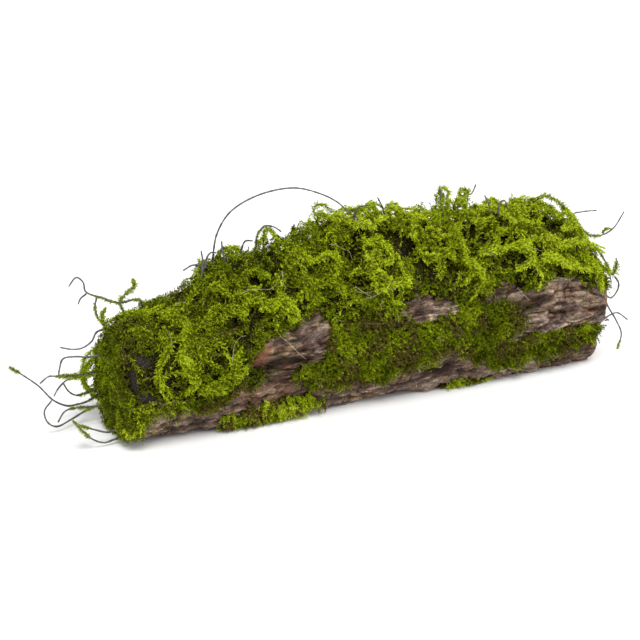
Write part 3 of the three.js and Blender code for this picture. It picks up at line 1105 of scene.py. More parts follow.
@dataclass(frozen=True)
class Stand:
    """How short shoots stand up from the bark: their size and lean."""

    style: ShootStyle
    length: Span
    lean: float
    sag: float
    tint: float
    heading: tuple | None = None
    darkest: float = 0.16

    def paths(self, along: Array, angle: Array, base: Array, rng: Chance) -> Paths:
        """Return standing paths from roots a base height above the bark.

        Each path leaves along the bark's normal, or along the given heading, tipped by a random
        lean, and sags by the square of the distance along it.

        Args:
            along: Root places along the log.
            angle: Root angles.
            base: Root heights above the bark.
            rng: The source of chance.

        Returns:
            The paths in the log's frame.
        """
        count = len(along)
        share = np.linspace(0.0, 1.0, self.style.nodes)[None, :, None]
        root = over_moss(along, angle, base)
        normal = unit(over_moss(along, angle, base + 5.0) - root)
        if self.heading is not None:
            normal = np.broadcast_to(unit(np.array(self.heading)), root.shape)
        lean = rng.normal(0.0, self.lean, (count, 3))
        direction = unit(normal + lean)[:, None, :]
        tuft = 0.75 + 0.5 * fractal_noise(root / 9.0, Pattern.TUFT_LENGTH, 2)
        length = (rng.uniform(*self.length, count) * np.clip(tuft, 0.3, 1.4))[:, None, None]
        bow = rng.normal(0.0, 0.25, (count, 1, 3)) + np.array([0.0, 0.0, -self.sag])
        points = root[:, None, :] + length * (direction * share + bow * share**2)
        ups = unit(np.broadcast_to(np.array([0.1, -0.3, 1.0]), points.shape))
        tints = self.tint + 0.20 * fractal_noise(root / 13.0, Pattern.TUFT_TINT, 3)
        tints = np.maximum(tints + rng.normal(0.0, 0.05, count), self.darkest)
        withered = 0.8 * smooth_step(0.12, 0.30, fractal_noise(root / 12.0, Pattern.WITHERED, 2))
        tints = np.where(rng.uniform(0.0, 1.0, count) < withered, DRY_TINT, tints)
        return Paths(points, ups, tints)


@dataclass(frozen=True)
class Patch:
    """A stretch of the log between two places and two angles."""

    along: Span
    angles: Span

    def scatter(self, count: int, rng: Chance) -> tuple[Array, Array]:
        """Return count random places and angles, spread evenly over the patch."""
        return rng.uniform(*self.along, count), rng.uniform(*self.angles, count)


def thinned(along: Array, angle: Array, keep: Array, rng: Chance) -> tuple[Array, Array]:
    """Return the roots that survive a draw with the given chances of staying."""
    stays = rng.uniform(0.0, 1.0, len(along)) < keep
    return along[stays], angle[stays]


# ---- finishes


def new_material(name: str) -> tuple[Material, Nodes, bpy.types.Node]:
    """Start a node material.

    Args:
        name: Its name.

    Returns:
        The material, its node tree and its Principled shader.
    """
    material = bpy.data.materials.new(name)
    material.use_nodes = True
    tree = material.node_tree
    return material, tree, tree.nodes["Principled BSDF"]


def add_ramp(tree: Nodes, factor: Socket, stops: tuple) -> Socket:
    """Add a colour ramp.

    Args:
        tree: The material's nodes.
        factor: What drives it.
        stops: (place, (red, green, blue)) pairs in order.

    Returns:
        The ramp's colour.
    """
    node = tree.nodes.new("ShaderNodeValToRGB")
    ramp = node.color_ramp
    ramp.elements[0].position, ramp.elements[-1].position = stops[0][0], stops[-1][0]
    for place, _colour in stops[1:-1]:
        ramp.elements.new(place)
    for element, (_place, colour) in zip(ramp.elements, stops):
        element.color = (*colour, 1.0)
    tree.links.new(factor, node.inputs["Fac"])
    return node.outputs["Color"]


def add_noise(tree: Nodes, vector: Socket, scale: float, detail: float,
              stretch: tuple = (1.0, 1.0, 1.0)) -> Socket:
    """Add a noise texture on a vector that is stretched first.

    Args:
        tree: The material's nodes.
        vector: Where it is read.
        scale: Cells to a unit of the vector.
        detail: Octaves.
        stretch: Factors on the vector's axes; less than 1 draws the pattern out.

    Returns:
        The noise's value.
    """
    mapping = tree.nodes.new("ShaderNodeMapping")
    mapping.inputs["Scale"].default_value = stretch
    noise = tree.nodes.new("ShaderNodeTexNoise")
    noise.inputs["Scale"].default_value = scale
    noise.inputs["Detail"].default_value = detail
    tree.links.new(vector, mapping.inputs["Vector"])
    tree.links.new(mapping.outputs["Vector"], noise.inputs["Vector"])
    return noise.outputs["Fac"]


def add_mix(tree: Nodes, kind: str, factor: Socket | float, first: Socket | tuple,
            second: Socket | tuple) -> Socket:
    """Add a colour mix.

    Args:
        tree: The material's nodes.
        kind: How the two colours are blended.
        factor: How much of the blend shows.
        first: The lower colour.
        second: The upper colour.

    Returns:
        The mixed colour.
    """
    node = tree.nodes.new("ShaderNodeMix")
    node.data_type = "RGBA"
    node.blend_type = kind
    for socket, value in ((node.inputs[0], factor), (node.inputs[6], first), (node.inputs[7], second)):
        if isinstance(value, Socket):
            tree.links.new(value, socket)
        elif isinstance(value, tuple):
            socket.default_value = (*value, 1.0)
        else:
            socket.default_value = value
    return node.outputs[2]


def add_bump(tree: Nodes, shader: bpy.types.Node, height: Socket, strength: float,
             distance: float) -> None:
    """Add a bump and plug it into the shader.

    Args:
        tree: The material's nodes.
        shader: The shader that gets its normal.
        height: What raises the surface.
        strength: How much of the bump shows.
        distance: How high it stands, in metres.
    """
    bump = tree.nodes.new("ShaderNodeBump")
    bump.inputs["Strength"].default_value = strength
    bump.inputs["Distance"].default_value = distance
    tree.links.new(height, bump.inputs["Height"])
    tree.links.new(bump.outputs["Normal"], shader.inputs["Normal"])


def add_spread(tree: Nodes, value: Socket, low: float, high: float) -> Socket:
    """Add a map of 0..1 to low..high.

    Args:
        tree: The material's nodes.
        value: What is mapped.
        low: The result at 0.
        high: The result at 1.

    Returns:
        The mapped value.
    """
    node = tree.nodes.new("ShaderNodeMapRange")
    node.inputs["To Min"].default_value = low
    node.inputs["To Max"].default_value = high
    tree.links.new(value, node.inputs["Value"])
    return node.outputs["Result"]


@dataclass(frozen=True)
class LeafFinish:
    """Moss leaves: the tint picks the green, and a painted shade darkens each leaf's base and pales its
    tip.
    """

    name: str = "moss_leaf"
    greens: tuple = (
        (0.00, (0.055, 0.042, 0.010)),
        (0.07, (0.130, 0.098, 0.022)),
        (0.115, (0.210, 0.165, 0.045)),
        (0.13, (0.034, 0.043, 0.002)),
        (0.32, (0.090, 0.116, 0.004)),
        (0.50, (0.178, 0.236, 0.004)),
        (0.68, (0.365, 0.470, 0.010)),
        (0.84, (0.565, 0.690, 0.030)),
        (1.00, (0.740, 0.820, 0.130)),
    )
    leaf_base_shade: tuple = ((0.0, (0.50, 0.46, 0.35)), (0.5, (0.95, 0.95, 0.85)), (1.0, (1.25, 1.20, 1.20)))

    def make(self) -> Material:
        """Build the finish.

        Returns:
            Its material.
        """
        material, tree, shader = new_material(self.name)
        uv = tree.nodes.new("ShaderNodeUVMap")
        uv.uv_map = PALETTE_MAP
        parts = tree.nodes.new("ShaderNodeSeparateXYZ")
        tree.links.new(uv.outputs["UV"], parts.inputs["Vector"])
        green = add_ramp(tree, parts.outputs["Y"], self.greens)
        # Painted shade: each leaf darkens towards its base, in the shoot's core, and pales towards its tip.
        pale = add_ramp(tree, parts.outputs["X"], self.leaf_base_shade)
        tree.links.new(add_mix(tree, "MULTIPLY", 1.0, green, pale), shader.inputs["Base Color"])
        grain = add_noise(tree, uv.outputs["UV"], 40.0, 1.0)
        tree.links.new(add_spread(tree, grain, 0.55, 0.8), shader.inputs["Roughness"])
        add_bump(tree, shader, grain, 0.15, 0.0004)
        shader.inputs["Specular IOR Level"].default_value = 0.06
        return material


@dataclass(frozen=True)
class BedFinish:
    """The dark felt of old shoots under the living moss, with near-black wood in its gaps, partly painted
    shade.
    """

    name: str = "moss_felt"
    wood: tuple = (0.034, 0.028, 0.026)
    felt: tuple = ((0.35, (0.024, 0.019, 0.008)), (0.65, (0.052, 0.057, 0.006)))
    strands: tuple = ((0.38, (0.15, 0.14, 0.12)), (0.5, (0.8, 0.8, 0.7)), (0.66, (2.4, 2.5, 1.6)))

    def make(self) -> Material:
        """Build the finish.

        Returns:
            Its material.
        """
        material, tree, shader = new_material(self.name)
        place = tree.nodes.new("ShaderNodeTexCoord").outputs["Object"]
        broad = add_noise(tree, place, 60.0, 3.0)
        fine = add_noise(tree, place, 620.0, 4.0)
        colour = add_ramp(tree, broad, self.felt)
        colour = add_mix(tree, "MULTIPLY", 1.0, colour, add_ramp(tree, fine, self.strands))
        bare = tree.nodes.new("ShaderNodeAttribute")
        bare.attribute_name = "bare"
        # In the gaps the felt turns to near-black wood: partly the wood's own colour, partly painted shade
        # in the voids.
        wood = add_ramp(tree, fine, ((0.38, self.wood), (0.62, tuple(2.2 * part for part in self.wood))))
        colour = add_mix(tree, "MIX", bare.outputs["Fac"], colour, wood)
        tree.links.new(colour, shader.inputs["Base Color"])
        tree.links.new(add_spread(tree, fine, 0.8, 1.0), shader.inputs["Roughness"])
        add_bump(tree, shader, fine, 1.0, 0.006)
        shader.inputs["Specular IOR Level"].default_value = 0.05
        return material


@dataclass(frozen=True)
class BarkFinish:
    """Weathered bark: dark reddish cracks, partly painted shade, grey plates, and green stain near the
    moss.
    """

    name: str = "weathered_bark"
    cracks: tuple = (0.034, 0.017, 0.010)
    mid: tuple = (0.102, 0.071, 0.051)
    plate: tuple = (0.195, 0.156, 0.123)
    ridge: tuple = (0.300, 0.264, 0.222)
    stain: tuple = (0.050, 0.052, 0.006)
    red: tuple = (0.240, 0.100, 0.057)
    fibres: tuple = ((0.32, (0.30, 0.27, 0.26)), (0.5, (0.85, 0.83, 0.82)), (0.68, (1.55, 1.50, 1.46)))
    grit: tuple = ((0.35, (0.55, 0.52, 0.50)), (0.65, (1.30, 1.28, 1.25)))
    plates: tuple = ((0.15, (0.80, 0.74, 0.80)), (0.45, (1.0, 0.98, 0.98)), (0.62, (1.28, 1.12, 0.98)),
                     (0.85, (1.15, 1.12, 1.12)))
    tones: tuple = ((0.35, (0.62, 0.56, 0.60)), (0.5, (0.95, 0.92, 0.92)), (0.65, (1.25, 1.15, 1.02)))
    growth: tuple = ((0.0, (0.30, 0.22, 0.15)), (0.55, (0.34, 0.26, 0.18)),
                     (0.86, (0.19, 0.125, 0.075)), (1.0, (0.29, 0.21, 0.14)))
    splits: tuple = ((0.05, (0.08, 0.06, 0.05)), (0.22, (1.0, 1.0, 1.0)))
    saw_marks: tuple = ((0.3, (0.6, 0.58, 0.55)), (0.7, (1.1, 1.1, 1.1)))

    def make(self) -> Material:
        """Build the finish.

        Returns:
            Its material.
        """
        material, tree, shader = new_material(self.name)
        place = tree.nodes.new("ShaderNodeTexCoord").outputs["Object"]
        sockets = {}
        for key in ("relief", "plate", "stain", "red", "sawn", "ring"):
            node = tree.nodes.new("ShaderNodeAttribute")
            node.attribute_name = key
            sockets[key] = node.outputs["Fac"]
        fibre = add_noise(tree, place, 300.0, 5.0, (0.25, 1.0, 1.0))
        speck = add_noise(tree, place, 850.0, 3.0, (0.6, 1.0, 1.0))
        patch = add_noise(tree, place, 75.0, 4.0, (0.5, 1.0, 1.0))
        # Colour by relief: its dark end is partly the furrows' own colour and partly painted shade in the
        # deep cracks.
        by_depth = add_ramp(tree, sockets["relief"], (
            (0.0, self.cracks), (0.36, self.mid), (0.66, self.plate), (1.0, self.ridge)))
        shade = add_ramp(tree, fibre, self.fibres)
        colour = add_mix(tree, "MULTIPLY", 1.0, by_depth, shade)
        colour = add_mix(tree, "MULTIPLY", 1.0, colour, add_ramp(tree, speck, self.grit))
        colour = add_mix(tree, "MULTIPLY", 1.0, colour, add_ramp(tree, sockets["plate"], self.plates))
        tone = add_ramp(tree, patch, self.tones)
        colour = add_mix(tree, "MULTIPLY", 1.0, colour, tone)
        red = add_mix(tree, "MULTIPLY", 0.7, self.red, shade)
        colour = add_mix(tree, "MIX", sockets["red"], colour, red)
        wood = self.sawn_wood(tree, sockets, patch, speck, tone)
        colour = add_mix(tree, "MIX", sockets["sawn"], colour, wood)
        stain = add_mix(tree, "MULTIPLY", 0.8, self.stain, shade)
        colour = add_mix(tree, "MIX", sockets["stain"], colour, stain)
        tree.links.new(colour, shader.inputs["Base Color"])
        tree.links.new(add_spread(tree, fibre, 0.72, 0.95), shader.inputs["Roughness"])
        add_bump(tree, shader, add_mix(tree, "MIX", 0.4, fibre, speck), 0.9, 0.0018)
        shader.inputs["Specular IOR Level"].default_value = 0.25
        return material

    def sawn_wood(self, tree: Nodes, sockets: dict, patch: Socket, speck: Socket, tone: Socket) -> Socket:
        """Add the colour of the sawn ends.

        Args:
            tree: The material's nodes.
            sockets: The skin's numbers by name.
            patch: A broad noise, which makes the rings waver.
            speck: A fine noise, for the saw's marks.
            tone: A broad mottling.

        Returns:
            The wood's colour, with dark late growth in each ring and its splits darkened as painted shade.
        """
        wave = tree.nodes.new("ShaderNodeMath")
        wave.operation = "MULTIPLY_ADD"
        wave.inputs[1].default_value = 1.6
        tree.links.new(patch, wave.inputs[0])
        tree.links.new(sockets["ring"], wave.inputs[2])
        turn = tree.nodes.new("ShaderNodeMath")
        turn.operation = "FRACT"
        tree.links.new(wave.outputs[0], turn.inputs[0])
        wood = add_ramp(tree, turn.outputs[0], self.growth)
        # Painted shade: the wood is darkened in its open checks.
        wood = add_mix(tree, "MULTIPLY", 1.0, wood, add_ramp(tree, sockets["relief"], self.splits))
        wood = add_mix(tree, "MULTIPLY", 0.8, wood, tone)
        return add_mix(tree, "MULTIPLY", 0.8, wood, add_ramp(tree, speck, self.saw_marks))


@dataclass(frozen=True)
class StemFinish:
    """Wiry stems: dark grey-brown, with a dull gleam."""

    name: str = "wiry_stem"
    dark: tuple = (0.045, 0.041, 0.038)
    mid: tuple = (0.100, 0.092, 0.086)
    pale: tuple = (0.170, 0.155, 0.135)

    def make(self) -> Material:
        """Build the finish.

        Returns:
            Its material.
        """
        material, tree, shader = new_material(self.name)
        place = tree.nodes.new("ShaderNodeTexCoord").outputs["Object"]
        mottle = add_noise(tree, place, 320.0, 3.0)
        colour = add_ramp(tree, mottle, ((0.3, self.dark), (0.55, self.mid), (0.75, self.pale)))
        tree.links.new(colour, shader.inputs["Base Color"])
        tree.links.new(add_spread(tree, mottle, 0.45, 0.75), shader.inputs["Roughness"])
        add_bump(tree, shader, mottle, 0.4, 0.0004)
        return material


# ---- the pieces


def finish_piece(piece: bpy.types.Object, slot: Slot, *nodes: str) -> None:
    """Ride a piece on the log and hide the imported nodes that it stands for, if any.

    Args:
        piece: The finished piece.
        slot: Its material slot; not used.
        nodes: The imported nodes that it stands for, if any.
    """
    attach(piece, BODY)
    if nodes:
        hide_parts(*nodes)
    LOG.info("%s: %d vertices", piece.name, len(piece.data.vertices))


@dataclass
class BarkLog:
    """The bole with its bark: plates, furrows, a broken ledge and two sawn ends.

    Each crack has a place along the log, an angle, a length and a width.
    """

    rows: int = 330
    columns: int = 258
    end_rings: int = 16
    plates_round: int = 34
    plate_length: float = 30.0
    flakes_round: int = 72
    flake_length: float = 13.0
    scales_round: int = 150
    scale_length: float = 6.5
    plate_rise: float = 1.5
    furrow_depth: float = 2.2
    seam_depth: float = 0.9
    crack_depth: float = 4.5
    pith: Span = (4.0, 5.0)
    ring_width: float = 3.1
    cracks: tuple = ((147, 28, 17, 5), (167, 31, 10, 3), (186, 15, 16, 3), (109, 30, 12, 5),
                     (-122, 11, 9, 7), (205, 33, 14, 3), (128, 14, 20, 3), (40, 36, 12, 4),
                     (-95, 12, 24, 3), (-90, -8, 26, 3), (225, 12, 12, 3), (-190, -42, 22, 3),
                     (60, -30, 16, 3), (200, -44, 18, 4), (20, 176, 26, 4), (-110, 190, 22, 5),
                     (130, 196, 24, 4), (190, 214, 20, 4), (-30, 226, 22, 4))

    def angles(self) -> Array:
        """Place the columns closer together where the bark shows.

        Returns:
            Their angles, with the first again at the end.
        """
        fine = np.linspace(-90.0, 270.0, 1441)
        weight = 1.0 - 0.72 * smooth_step(62, 75, fine) * smooth_step(200, 185, fine)
        travelled = np.concatenate([[0.0], np.cumsum((weight[1:] + weight[:-1]) / 2)])
        wanted = np.linspace(0.0, travelled[-1], self.columns + 1)
        return np.interp(wanted, travelled, fine)

    def relief(self, x: Array, angle: Array) -> tuple[Array, Array]:
        """Return the bark's relief in millimetres and its plates' numbers.

        Two cell patterns, long plates and small flakes, each give raised cells at their own
        levels with furrows between them; noise stretched along the log adds ribs and fibres,
        and each deep crack is a bell of its own length and width.

        Args:
            x: Places along the log.
            angle: Angles round it.

        Returns:
            The relief, and a number from 0 to 1 for each plate.
        """
        where = on_log(x, angle, 55.0)
        warp = fractal_noise(where / np.array([34.0, 12.0, 12.0]), Pattern.BARK_WARP, 3)
        twist = fractal_noise(where / np.array([60.0, 14.0, 14.0]), Pattern.BARK_TWIST, 2)
        turn = (angle + 90.0) / 360.0
        plates, flakes, scales = (
            cell_pattern(x / length + bend * warp, turn * around + swing * twist, around, seed)
            for length, bend, around, swing, seed in (
                (self.plate_length, 0.7, self.plates_round, 1.2, Pattern.PLATES),
                (self.flake_length, 0.9, self.flakes_round, 1.8, Pattern.FLAKES),
                (self.scale_length, 0.9, self.scales_round, 2.2, Pattern.SCALES)))
        furrow = 1.0 - smooth_step(0.0, 0.22, plates.border)
        seam = 1.0 - smooth_step(0.0, 0.30, flakes.border)
        ribs = fractal_noise(where / np.array([70.0, 9.0, 9.0]), Pattern.RIBS, 3)
        fibre = fractal_noise(where / np.array([11.0, 1.6, 1.6]), Pattern.FIBRES, 3)
        knobs = fractal_noise(where / np.array([10.0, 7.0, 7.0]), Pattern.KNOBS, 4)
        height = self.plate_rise * plates.value - self.furrow_depth * furrow
        height = height + self.plate_rise * flakes.value - self.seam_depth * seam + 0.9 * scales.value
        height = height + 0.7 * fibre + 1.4 * ribs + 1.6 * knobs - 1.2
        for place, side, length, width in self.cracks:
            arc = np.radians(angle - side) * 60.0 + 1.5 * warp
            bell = np.exp(-(((x - place) / length) ** 2) - (arc / width) ** 2)
            height = height - self.crack_depth * bell
        return height, 0.5 * flakes.value + 0.5 * scales.value

    def side(self, x: Array, angle: Array) -> tuple[Array, dict]:
        """Return the rings of points along the bole and the numbers that colour them.

        Args:
            x: The rings' places along the log.
            angle: The columns' angles.

        Returns:
            The points (rings, columns, 3), and an array for each of the finish's attributes.
        """
        relief, plate = self.relief(x, angle)
        edge = smooth_step(0.0, 5.0, HALF_LENGTH - np.abs(x))
        radius = SHAPE.radius(x, angle) + relief * (0.35 + 0.65 * edge) - 1.5 * (1 - edge)
        points = above_floor(on_log(x, angle, radius), 0.0)
        reach = MOSS.cover(x, angle - 7.0) + MOSS.cover(x, angle + 9.0)
        damp = fractal_noise(points / 14.0, Pattern.DAMP, 3)
        under_pile = pile_cover(x, angle)
        stain = np.clip(0.25 * reach + 0.9 * under_pile + 0.5 * damp - 0.12, 0.0, 0.95)
        ledge_tip = angle_bell(angle, 25, 9) * smooth_step(-146, -138, x) * smooth_step(-114, -128, x)
        low_red = angle_bell(angle, -20, 13) * smooth_step(-150, -132, x) * smooth_step(-78, -98, x)
        # Painted shade under the ledge: the bark's colour there is darkened through its relief number.
        ledge_shade = angle_bell(angle, 15, 22) * smooth_step(-150, -135, x) * smooth_step(-66, -84, x)
        numbers = {
            "relief": np.clip((relief + 4.0) / 6.5 - 0.36 * ledge_shade, 0.0, 1.0), "plate": plate,
            "stain": stain, "red": np.clip(1.4 * ledge_tip + 0.30 * low_red, 0, 1),
            "sawn": np.zeros_like(relief), "ring": np.zeros_like(relief),
        }
        return points, numbers

    def sawn_end(self, edge: Array, sign: float, angle: Array) -> tuple[Array, dict]:
        """Return rings that run from the bole's edge to the pith of a sawn end.

        Args:
            edge: The last ring of the side, (columns, 3).
            sign: -1 for the left end and 1 for the right.
            angle: The columns' angles.

        Returns:
            The rings, outermost first, and their colour numbers.
        """
        share = np.linspace(1.0, 0.03, self.end_rings)[:, None]
        centre = np.array([sign * HALF_LENGTH, 0.0, AXIS_HEIGHT])
        points = centre + (edge[None] - centre) * share[..., None]
        where = points / 9.0
        away = np.linalg.norm(points[..., 1:] - (centre[1:] + np.array(self.pith)), axis=-1)
        growth = away / self.ring_width
        growth = growth + 0.45 * np.sin(1.3 * growth) + 0.3 * np.sin(0.61 * growth + 2.0)
        spokes = angle / 360.0 * 9.0 + 0.35 * value_noise(where, Pattern.CHECKS)
        check = np.exp(-((((spokes % 1.0) - 0.5) / 0.035) ** 2)) * smooth_step(0.1, 0.4, share)
        check = check * (hash_cells(Pattern.OPEN_CHECKS, np.floor(spokes)) > 0.45)
        rough = 0.5 * fractal_noise(where * 2.0, Pattern.SAWN_ROUGH, 3)
        hollow = 1.8 * check + 0.8 * smooth_step(0.90, 0.97, share) * smooth_step(1.0, 0.97, share)
        points[..., 0] += sign * (rough - hollow - 0.6) * smooth_step(1.0, 0.97, share)
        bark_ring = smooth_step(0.88, 0.93, share)
        mould = fractal_noise(where * 0.6, Pattern.SAWN_STAIN, 3)
        size = np.broadcast(share, angle).shape
        # The relief number carries the open checks, which the finish darkens as painted shade.
        numbers = {
            "relief": 0.30 * (1.0 - check), "plate": 0.5, "red": 0.0, "sawn": 1.0 - bark_ring,
            "stain": np.clip(0.35 * mould + 0.25 * share, 0, 0.6), "ring": growth,
        }
        return points, {key: value * np.ones(size) for key, value in numbers.items()}

    def build(self, material: Material) -> None:
        """Build the bole as one closed skin.

        Args:
            material: Its finish.
        """
        closing = self.angles()
        angle = closing[:-1][None, :]
        x = np.linspace(-HALF_LENGTH, HALF_LENGTH, self.rows)[:, None]
        side, numbers = self.side(x, angle)
        left, left_numbers = self.sawn_end(side[0], -1.0, angle)
        right, right_numbers = self.sawn_end(side[-1], 1.0, angle)
        rings = np.concatenate([left[:0:-1], side, right[1:]])
        along = np.linspace(0.12, 0.88, self.rows)
        inset = np.linspace(0.0, 0.11, self.end_rings)[1:]
        uv_along = np.concatenate([0.12 - inset[::-1], along, 0.88 + inset])
        uv_round = map_round(closing)
        poles = tuple(np.array([sign * (HALF_LENGTH - 0.8), 0.0, AXIS_HEIGHT]) for sign in (-1.0, 1.0))
        skin = wrapped_skin(rings, uv_along, uv_round, poles)
        for key in numbers:
            flat = np.concatenate([left_numbers[key][:0:-1], numbers[key], right_numbers[key][1:]])
            skin.attributes[key] = np.concatenate([flat.ravel(), flat[0, :1], flat[-1, :1]])
        finish_piece(make_object("bark_log", skin, material, smooth=True), Slot.BARK, "log")


@dataclass
class MossBed:
    """The dark felt that the shoots grow from, closed round the whole log and hidden in it."""

    rows: int = 186
    columns: int = 110
    end_rings: int = 20
    share: float = 0.60

    def build(self, material: Material) -> None:
        """Build the felt at its share of the moss's height, and just inside the bark elsewhere.

        Args:
            material: Its finish.
        """
        angle = np.linspace(-90.0, 270.0, self.columns + 1)
        past_end = -HALF_LENGTH - np.linspace(46.0, 0.5, self.end_rings)
        along = np.concatenate([past_end, np.linspace(-HALF_LENGTH, HALF_LENGTH - 3.0, self.rows)])[:, None]
        turn = angle[:-1][None, :]
        moss = MOSS.depth(along, turn)
        where = over_moss(along, turn, moss)
        bumps = np.clip(1.0 + 0.35 * fractal_noise(where / 7.0, Pattern.FELT, 3), 0.6, 1.25)
        covered = smooth_step(0.35, 0.65, MOSS.cover(along, turn))
        thin = 2.2 * pile_cover(along, turn) - 4.5 * (1 - pile_cover(along, turn))
        height = covered * np.maximum(self.share * moss * bumps, 1.6) + thin * (1 - covered)
        rings = above_floor(over_moss(along, turn, height), 1.2)
        uv_along = np.linspace(0.02, 0.98, len(along))
        poles = tuple(np.array([x, 0.0, AXIS_HEIGHT]) for x in (rings[0, :, 0].mean(), HALF_LENGTH - 3.0))
        skin = wrapped_skin(rings, uv_along, map_round(angle), poles)
        # The bare number marks the gaps, whose near-black wood is partly painted shade.
        bare = smooth_step(0.25, 0.6, MOSS.gap(along, turn)) * np.ones(moss.shape)
        skin.attributes["bare"] = np.concatenate([bare.ravel(), [0.0, 0.0]])
        finish_piece(make_object("moss_felt", skin, material, smooth=True), Slot.MOSS)


# Thick ropes on the heaps, each a row of (place along the log, angle) points.
SWAGS = (
    ((-178, 50), (-164, 59), (-146, 54), (-137, 52)),
    ((-205, 56), (-213, 47), (-208, 38), (-216, 30), (-224, 20), (-222, 9), (-216, -3)),
    ((-196, 62), (-191, 55), (-197, 45)), ((-140, 57), (-127, 54), (-117, 49), (-108, 51)),
    ((-162, 73), (-155, 73), (-146, 66), (-136, 62), (-119, 64)),
    ((-189, 43), (-197, 38), (-201, 30), (-194, 24)), ((-204, 21), (-196, 16), (-191, 8), (-199, 3)),
    ((-173, 6), (-162, 11), (-152, 14), (-155, 21), (-147, 28)), ((-186, 3), (-173, 3), (-161, -1)),
    ((-241, 85), (-229, 88), (-213, 81), (-197, 83)),
    ((-79, 80), (-70, 74), (-63, 70), (-47, 70), (-40, 64)),
    ((-79, 65), (-68, 60), (-53, 59), (-44, 53), (-44, 49)),
    ((-127, 48), (-113, 51), (-98, 51), (-91, 42), (-95, 39)),
    ((-34, 92), (-22, 89), (-9, 82), (12, 85), (41, 98), (49, 90)),
    ((-11, 75), (1, 73), (11, 71), (12, 63), (2, 59)),
    ((-11, 60), (-12, 54), (-10, 48), (8, 50), (22, 50), (19, 61)),
    ((-128, 79), (-117, 79), (-110, 74), (-101, 74)), ((40, 74), (54, 87), (77, 94), (83, 89)),
    ((81, 73), (83, 67), (76, 64), (79, 61)), ((97, 97), (90, 89), (83, 78), (82, 67), (81, 58)),
    ((106, 86), (92, 78), (84, 75)), ((101, 61), (120, 62), (142, 64), (153, 62), (161, 63)),
    ((145, 62), (155, 58), (153, 52), (138, 51)),
    ((178, 66), (185, 62), (192, 58), (208, 58), (222, 55), (235, 50)),
    ((84, 56), (92, 55), (99, 48), (99, 42)), ((138, 82), (146, 80), (163, 80), (174, 78)),
    ((200, 80), (212, 79), (214, 73), (207, 69), (196, 68)),
    ((110, 84), (137, 93), (146, 86), (151, 79)), ((210, 54), (219, 46), (224, 37), (224, 28)),
    ((199, 50), (211, 43), (222, 40)), ((159, 50), (179, 51), (194, 44)),
)

# Ropes that stand or hang clear of the heaps. A flat rope has one y, then its (x, z) points.
FLAT_ROPES = (
    (22, ((-29, 156), (-34, 166), (-36, 175), (-32, 179), (-26, 178), (-19, 174), (-11, 168),
          (-2, 166), (4, 169))),
    (20, ((-35, 169), (-27, 169), (-19, 165), (-11, 164))),
    (20, ((-4, 155), (2, 170), (9, 171), (18, 166), (25, 159), (30, 151))),
    (18, ((27, 152), (27, 163), (24, 172))),
    (18, ((36, 152), (37, 167), (43, 171), (49, 169), (54, 161), (56, 150))),
    (12, ((36, 156), (38, 167), (43, 168), (48, 162), (48, 152))),
    (14, ((94, 148), (94, 162), (93, 174), (94, 181), (98, 181), (102, 177), (101, 171),
          (103, 160))),
    (18, ((92, 150), (91, 163), (94, 175), (98, 172), (98, 160))),
    (14, ((108, 148), (109, 162), (112, 168), (119, 166), (122, 162), (122, 150))),
    (10, ((110, 147), (111, 161), (114, 166), (118, 160), (117, 148))),
    (14, ((123, 164), (124, 172), (122, 176), (117, 177), (115, 173), (118, 170), (121, 173))),
    (10, ((57, 152), (69, 157), (80, 160), (89, 159))),
    (10, ((124, 150), (135, 152), (147, 152), (158, 152), (167, 151))),
    (15, ((-90, 153), (-89, 163), (-85, 165), (-80, 160), (-77, 152))),
)
LOOSE_ROPES = (
    ((188, 8, 147), (200, 8, 153), (212, 8, 150), (222, 8, 143), (231, 6, 133)),
    ((194, 14, 150), (206, 14, 151), (217, 14, 146), (226, 12, 138)),
    ((198, 0, 146), (209, 0, 147), (220, 0, 141), (229, 0, 131)),
    ((-244, 44, 66), (-252, 46, 59), (-257, 45, 48), (-257, 41, 36), (-250, 36, 26)),
    ((-246, 35, 62), (-255, 38, 54), (-261, 37, 44), (-258, 33, 33)),
    ((-245, 49, 52), (-253, 50, 43), (-255, 46, 32), (-250, 42, 21)),
)
END_STRANDS = (
    ((194, -22, 118), (203, -22, 121), (215, -22, 122), (231, -22, 113), (243, -22, 103),
     (248, -23, 92), (250, -24, 80)),
    ((192, 4, 158), (206, 4, 162), (219, 5, 156), (229, 5, 148), (236, 4, 138), (243, 2, 128),
     (249, -2, 117), (253, -6, 106)),
    ((200, 14, 158), (214, 16, 158), (228, 16, 150), (238, 16, 140), (246, 14, 128), (250, 12, 114),
     (250, 10, 100)),
    ((205, -8, 140), (218, -10, 141), (230, -12, 133), (240, -14, 122), (248, -18, 110),
     (253, -22, 97), (256, -26, 86)),
    ((220, -30, 113), (235, -30, 102), (245, -30, 90), (247, -32, 78), (247, -33, 67)),
    ((226, 5, 148), (232, -4, 140), (236, -12, 130), (238, -20, 118)),
    ((232, 16, 146), (238, 4, 136), (242, -6, 124)),
    ((215, -10, 118), (229, -10, 112), (242, -10, 102), (249, -10, 90), (250, -10, 80)),
    ((204, 30, 148), (218, 32, 146), (232, 32, 136), (244, 30, 124), (250, 28, 108)),
    ((206, 44, 130), (222, 46, 128), (236, 46, 118), (246, 44, 104), (248, 42, 90)),
    ((208, -34, 106), (226, -38, 95), (238, -41, 84), (243, -43, 72)),
)


